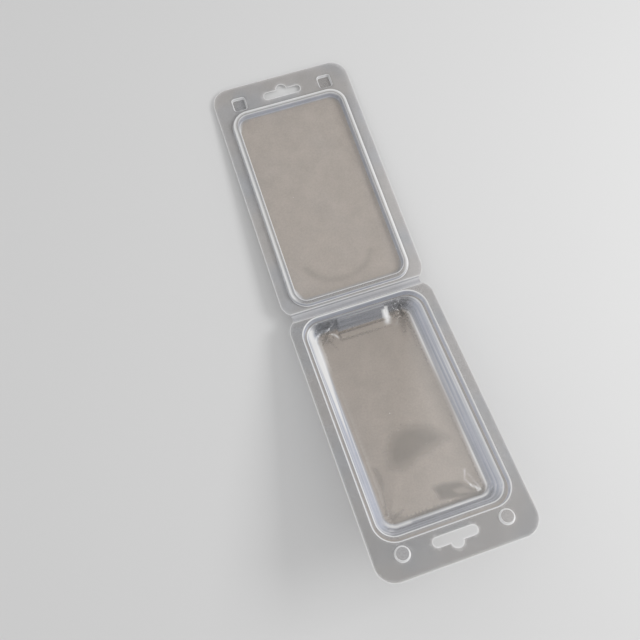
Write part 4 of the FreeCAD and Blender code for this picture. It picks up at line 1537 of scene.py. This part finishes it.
@dataclass(frozen=True)
class ClearSheet:
    """The clear formed sheet: faint grey, with painted highlights at its bends, a painted bluish reflection
    on its walls and a warm floor.
    """

    alpha: float = 0.52
    roughness: float = 0.2
    refraction: float = 1.57
    warm_body: Point = (0.365, 0.35, 0.34)
    cool_body: Point = (0.325, 0.335, 0.355)
    warm: Point = (0.43, 0.38, 0.335)
    # light: the walls' painted bluish reflection; white: the painted highlights' colour; line_strength: how
    # strong the walls' painted highlight lines are.
    light: Point = (0.53, 0.56, 0.65)
    white: Point = (1.0, 1.0, 1.0)
    line_strength: float = 0.3
    relief: float = 0.22
    relief_depth: float = 0.0008

    def material(self) -> bpy.types.Material:
        """The finish as a node material.

        Returns:
            The material.
        """
        made = bpy.data.materials.new("clear_sheet")
        made.use_nodes = True
        shade = made.node_tree.nodes["Principled BSDF"]
        shade.inputs["Alpha"].default_value = self.alpha
        shade.inputs["Roughness"].default_value = self.roughness
        shade.inputs["IOR"].default_value = self.refraction
        wires = ToneWiring(made.node_tree)
        reads = {key: wires.read(key) for key in ("bend", "wall", "floor", "painted_shade", "crinkle_with_painted_light")}
        creased = wires.noise((210.0,) * 3, 2.5, 2.0)
        tone = self.body(wires, reads, creased)
        # Painted glints on the crinkles, painted highlight lines along the walls and the painted highlights
        # at bends mix the colour towards white, with the dust specks.
        glints = wires.ranged(creased, 0.62, 0.68, 0.0, 1.0)
        lift = wires.product(self.painted_wall_highlights(wires), wires.product(reads["wall"], self.line_strength))
        lit = wires.total(reads["bend"], wires.total(lift, wires.product(glints, reads["crinkle_with_painted_light"])))
        lit = wires.total(lit, self.dust(wires), clamped=True)
        link = made.node_tree.links.new
        link(wires.mix(tone, self.white, lit), shade.inputs["Base Color"])
        height = wires.total(wires.noise((30.0,) * 3, 1.5), wires.product(creased, reads["crinkle_with_painted_light"]))
        depths = {"Strength": self.relief, "Distance": self.relief_depth, "Height": height}
        link(wires.add("ShaderNodeBump", depths).outputs[0], shade.inputs["Normal"])
        return made

    def body(
        self, wires: ToneWiring, reads: dict[str, bpy.types.NodeSocket], creased: bpy.types.NodeSocket
    ) -> bpy.types.NodeSocket:
        """The sheet's colour without its painted highlights, but with its painted shade and the walls'
        painted bluish reflection.

        Args:
            wires: the material's nodes.
            reads: the sheet's marks.
            creased: the noise that crinkles follow.

        Returns:
            The colour.
        """
        cloud = wires.ranged(wires.noise((22.0,) * 3, 2.0), 0.45, 0.7, 0.0, 1.0)
        tone = wires.mix(self.warm_body, self.cool_body, cloud)
        tone = wires.mix(tone, self.warm, reads["floor"])
        # The walls get their painted bluish reflection.
        tone = wires.mix(tone, self.light, reads["wall"])
        mottle = wires.ranged(wires.noise((75.0,) * 3, 5.0), 0.3, 0.7, 0.95, 1.05)
        grain = wires.ranged(wires.noise((900.0,) * 3, 2.0), 0.3, 0.7, 0.95, 1.05)
        # Painted shade, or painted light where the mark is negative, and painted shade in the crinkles'
        # dents.
        shaded = wires.ranged(reads["painted_shade"], -1.0, 1.0, 1.55, 0.45)
        dent_shade_mask = wires.ranged(creased, 0.42, 0.55, 0.7, 0.0)
        painted_dent_shade = wires.ranged(wires.product(dent_shade_mask, reads["crinkle_with_painted_light"]), 0.0, 1.0, 1.0, 0.0)
        for factor in (mottle, grain, shaded, painted_dent_shade):
            tone = wires.mix(tone, factor, 1.0, "MULTIPLY")
        return tone

    def painted_wall_highlights(self, wires: ToneWiring) -> bpy.types.NodeSocket:
        """Fine painted highlight lines that run along the walls, each way round the well.

        Args:
            wires: the material's nodes.

        Returns:
            The lines' strength.
        """
        along = wires.noise((420.0, 9.0, 420.0), 2.0)
        across = wires.noise((9.0, 420.0, 420.0), 2.0)
        s = wires.add("ShaderNodeSeparateXYZ", {0: wires.read("flat", "Vector")}).outputs["Y"]
        near = wires.ranged(s, 0.012, 0.018, 1.0, 0.0)
        far = wires.ranged(s, 0.152, 0.16, 0.0, 1.0)
        ends = wires.total(near, far, clamped=True)
        lines = wires.add("ShaderNodeMix", {0: ends, 2: along, 3: across}).outputs[0]
        return wires.ranged(lines, 0.5, 0.68, 0.0, 1.0)

    def dust(self, wires: ToneWiring) -> bpy.types.NodeSocket:
        """A few specks of dust.

        Args:
            wires: the material's nodes.

        Returns:
            The specks' strength.
        """
        place = wires.read("flat", "Vector")
        cells = wires.add("ShaderNodeTexVoronoi", {"Vector": place, "Scale": 105.0}).outputs
        speck = wires.ranged(cells["Distance"], 0.025, 0.05, 0.8, 0.0)
        return wires.product(speck, wires.ranged(cells["Color"], 0.6, 0.75, 0.0, 1.0))


@dataclass
class Studio:
    """Pale floor, even sky, one soft lamp and the camera at the photograph's angle."""

    floor_grey: float = 0.62
    floor_roughness: float = 0.8
    floor_reach: float = 6.0
    sky_grey: float = 0.75
    sky_strength: float = 1.02
    lamp_power: float = 6.0
    lamp_size: Spot = (0.6, 0.4)
    lamp_at: Point = (0.8, -0.2, 0.75)
    focal: float = 41.61
    film_width: float = 36.0
    camera_at: Point = (-96.2, -247.9, 472.6)
    camera_right: Point = (0.9473, -0.3187, -0.0317)
    camera_down: Point = (-0.2962, -0.8341, -0.4653)
    camera_ahead: Point = (0.1218, 0.4502, -0.8846)

    def lay_floor(self) -> None:
        """Lays a plain pale floor under the pack."""
        mesh = bpy.data.meshes.new("floor")
        reach = self.floor_reach
        edge = [(-reach, -reach, 0.0), (reach, -reach, 0.0), (reach, reach, 0.0), (-reach, reach, 0.0)]
        mesh.from_pydata(edge, [], [(0, 1, 2, 3)])
        pale = bpy.data.materials.new("pale_floor")
        pale.use_nodes = True
        shade = pale.node_tree.nodes["Principled BSDF"]
        shade.inputs["Base Color"].default_value = (*[self.floor_grey] * 3, 1.0)
        shade.inputs["Roughness"].default_value = self.floor_roughness
        mesh.materials.append(pale)
        put("floor", mesh)

    def light(self) -> None:
        """Sets up an even grey sky and one large soft lamp."""
        world = bpy.data.worlds.new("studio")
        bpy.context.scene.world = world
        world.use_nodes = True
        sky = world.node_tree.nodes["Background"]
        sky.inputs["Color"].default_value = (*[self.sky_grey] * 3, 1.0)
        sky.inputs["Strength"].default_value = self.sky_strength
        lamp = bpy.data.lights.new("soft_lamp", "AREA")
        lamp.shape = "RECTANGLE"
        lamp.size, lamp.size_y = self.lamp_size
        lamp.energy = self.lamp_power
        light = put("soft_lamp", lamp)
        light.location = self.lamp_at
        light.rotation_euler = (-light.location).to_track_quat("-Z", "Y").to_euler()

    def camera(self) -> None:
        """Sets up the camera, whose place and axes are given in the tray's flat frame."""
        lay = Lay(Half.TRAY)
        origin = lay.tilted(0, 0, 0)
        axes = (self.camera_right, self.camera_down, self.camera_ahead)
        right, down, ahead = ((lay.tilted(*axis) - origin).normalized() for axis in axes)
        lens = bpy.data.cameras.new("camera")
        lens.lens = self.focal
        lens.sensor_width = self.film_width
        view = put("camera", lens)
        turn = Matrix((right, -down, -ahead)).transposed().to_4x4()
        view.matrix_world = Matrix.Translation(lay.tilted(*self.camera_at)) @ turn
        bpy.context.scene.camera = view

    def build(self) -> None:
        """Sets the whole studio up."""
        bpy.context.scene.view_settings.view_transform = "Standard"
        self.lay_floor()
        self.light()
        self.camera()


def main() -> None:
    """Builds the pack in its studio and reports each piece."""
    logging.basicConfig(level=logging.INFO)
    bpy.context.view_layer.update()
    finish = ClearSheet().material()
    tray = TraySheet().make(finish)
    lid = LidSheet().make(finish)
    strip = FoldingStrip().make(finish)
    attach(tray, "tray")
    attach(lid, "lid")
    crease = FoldingStrip().crease
    start, end = Lay(Half.TRAY).place(0, crease, 0), Lay(Half.LID).place(0, crease, 0)
    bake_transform(strip)
    for piece, node in ((tray, "tray"), (lid, "lid"), (strip, "hinge_strip")):
        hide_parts(node)
        LOG.info("%s: %d faces", piece.name, len(piece.data.polygons))
    Studio().build()


if __name__ == "__main__":
    main()
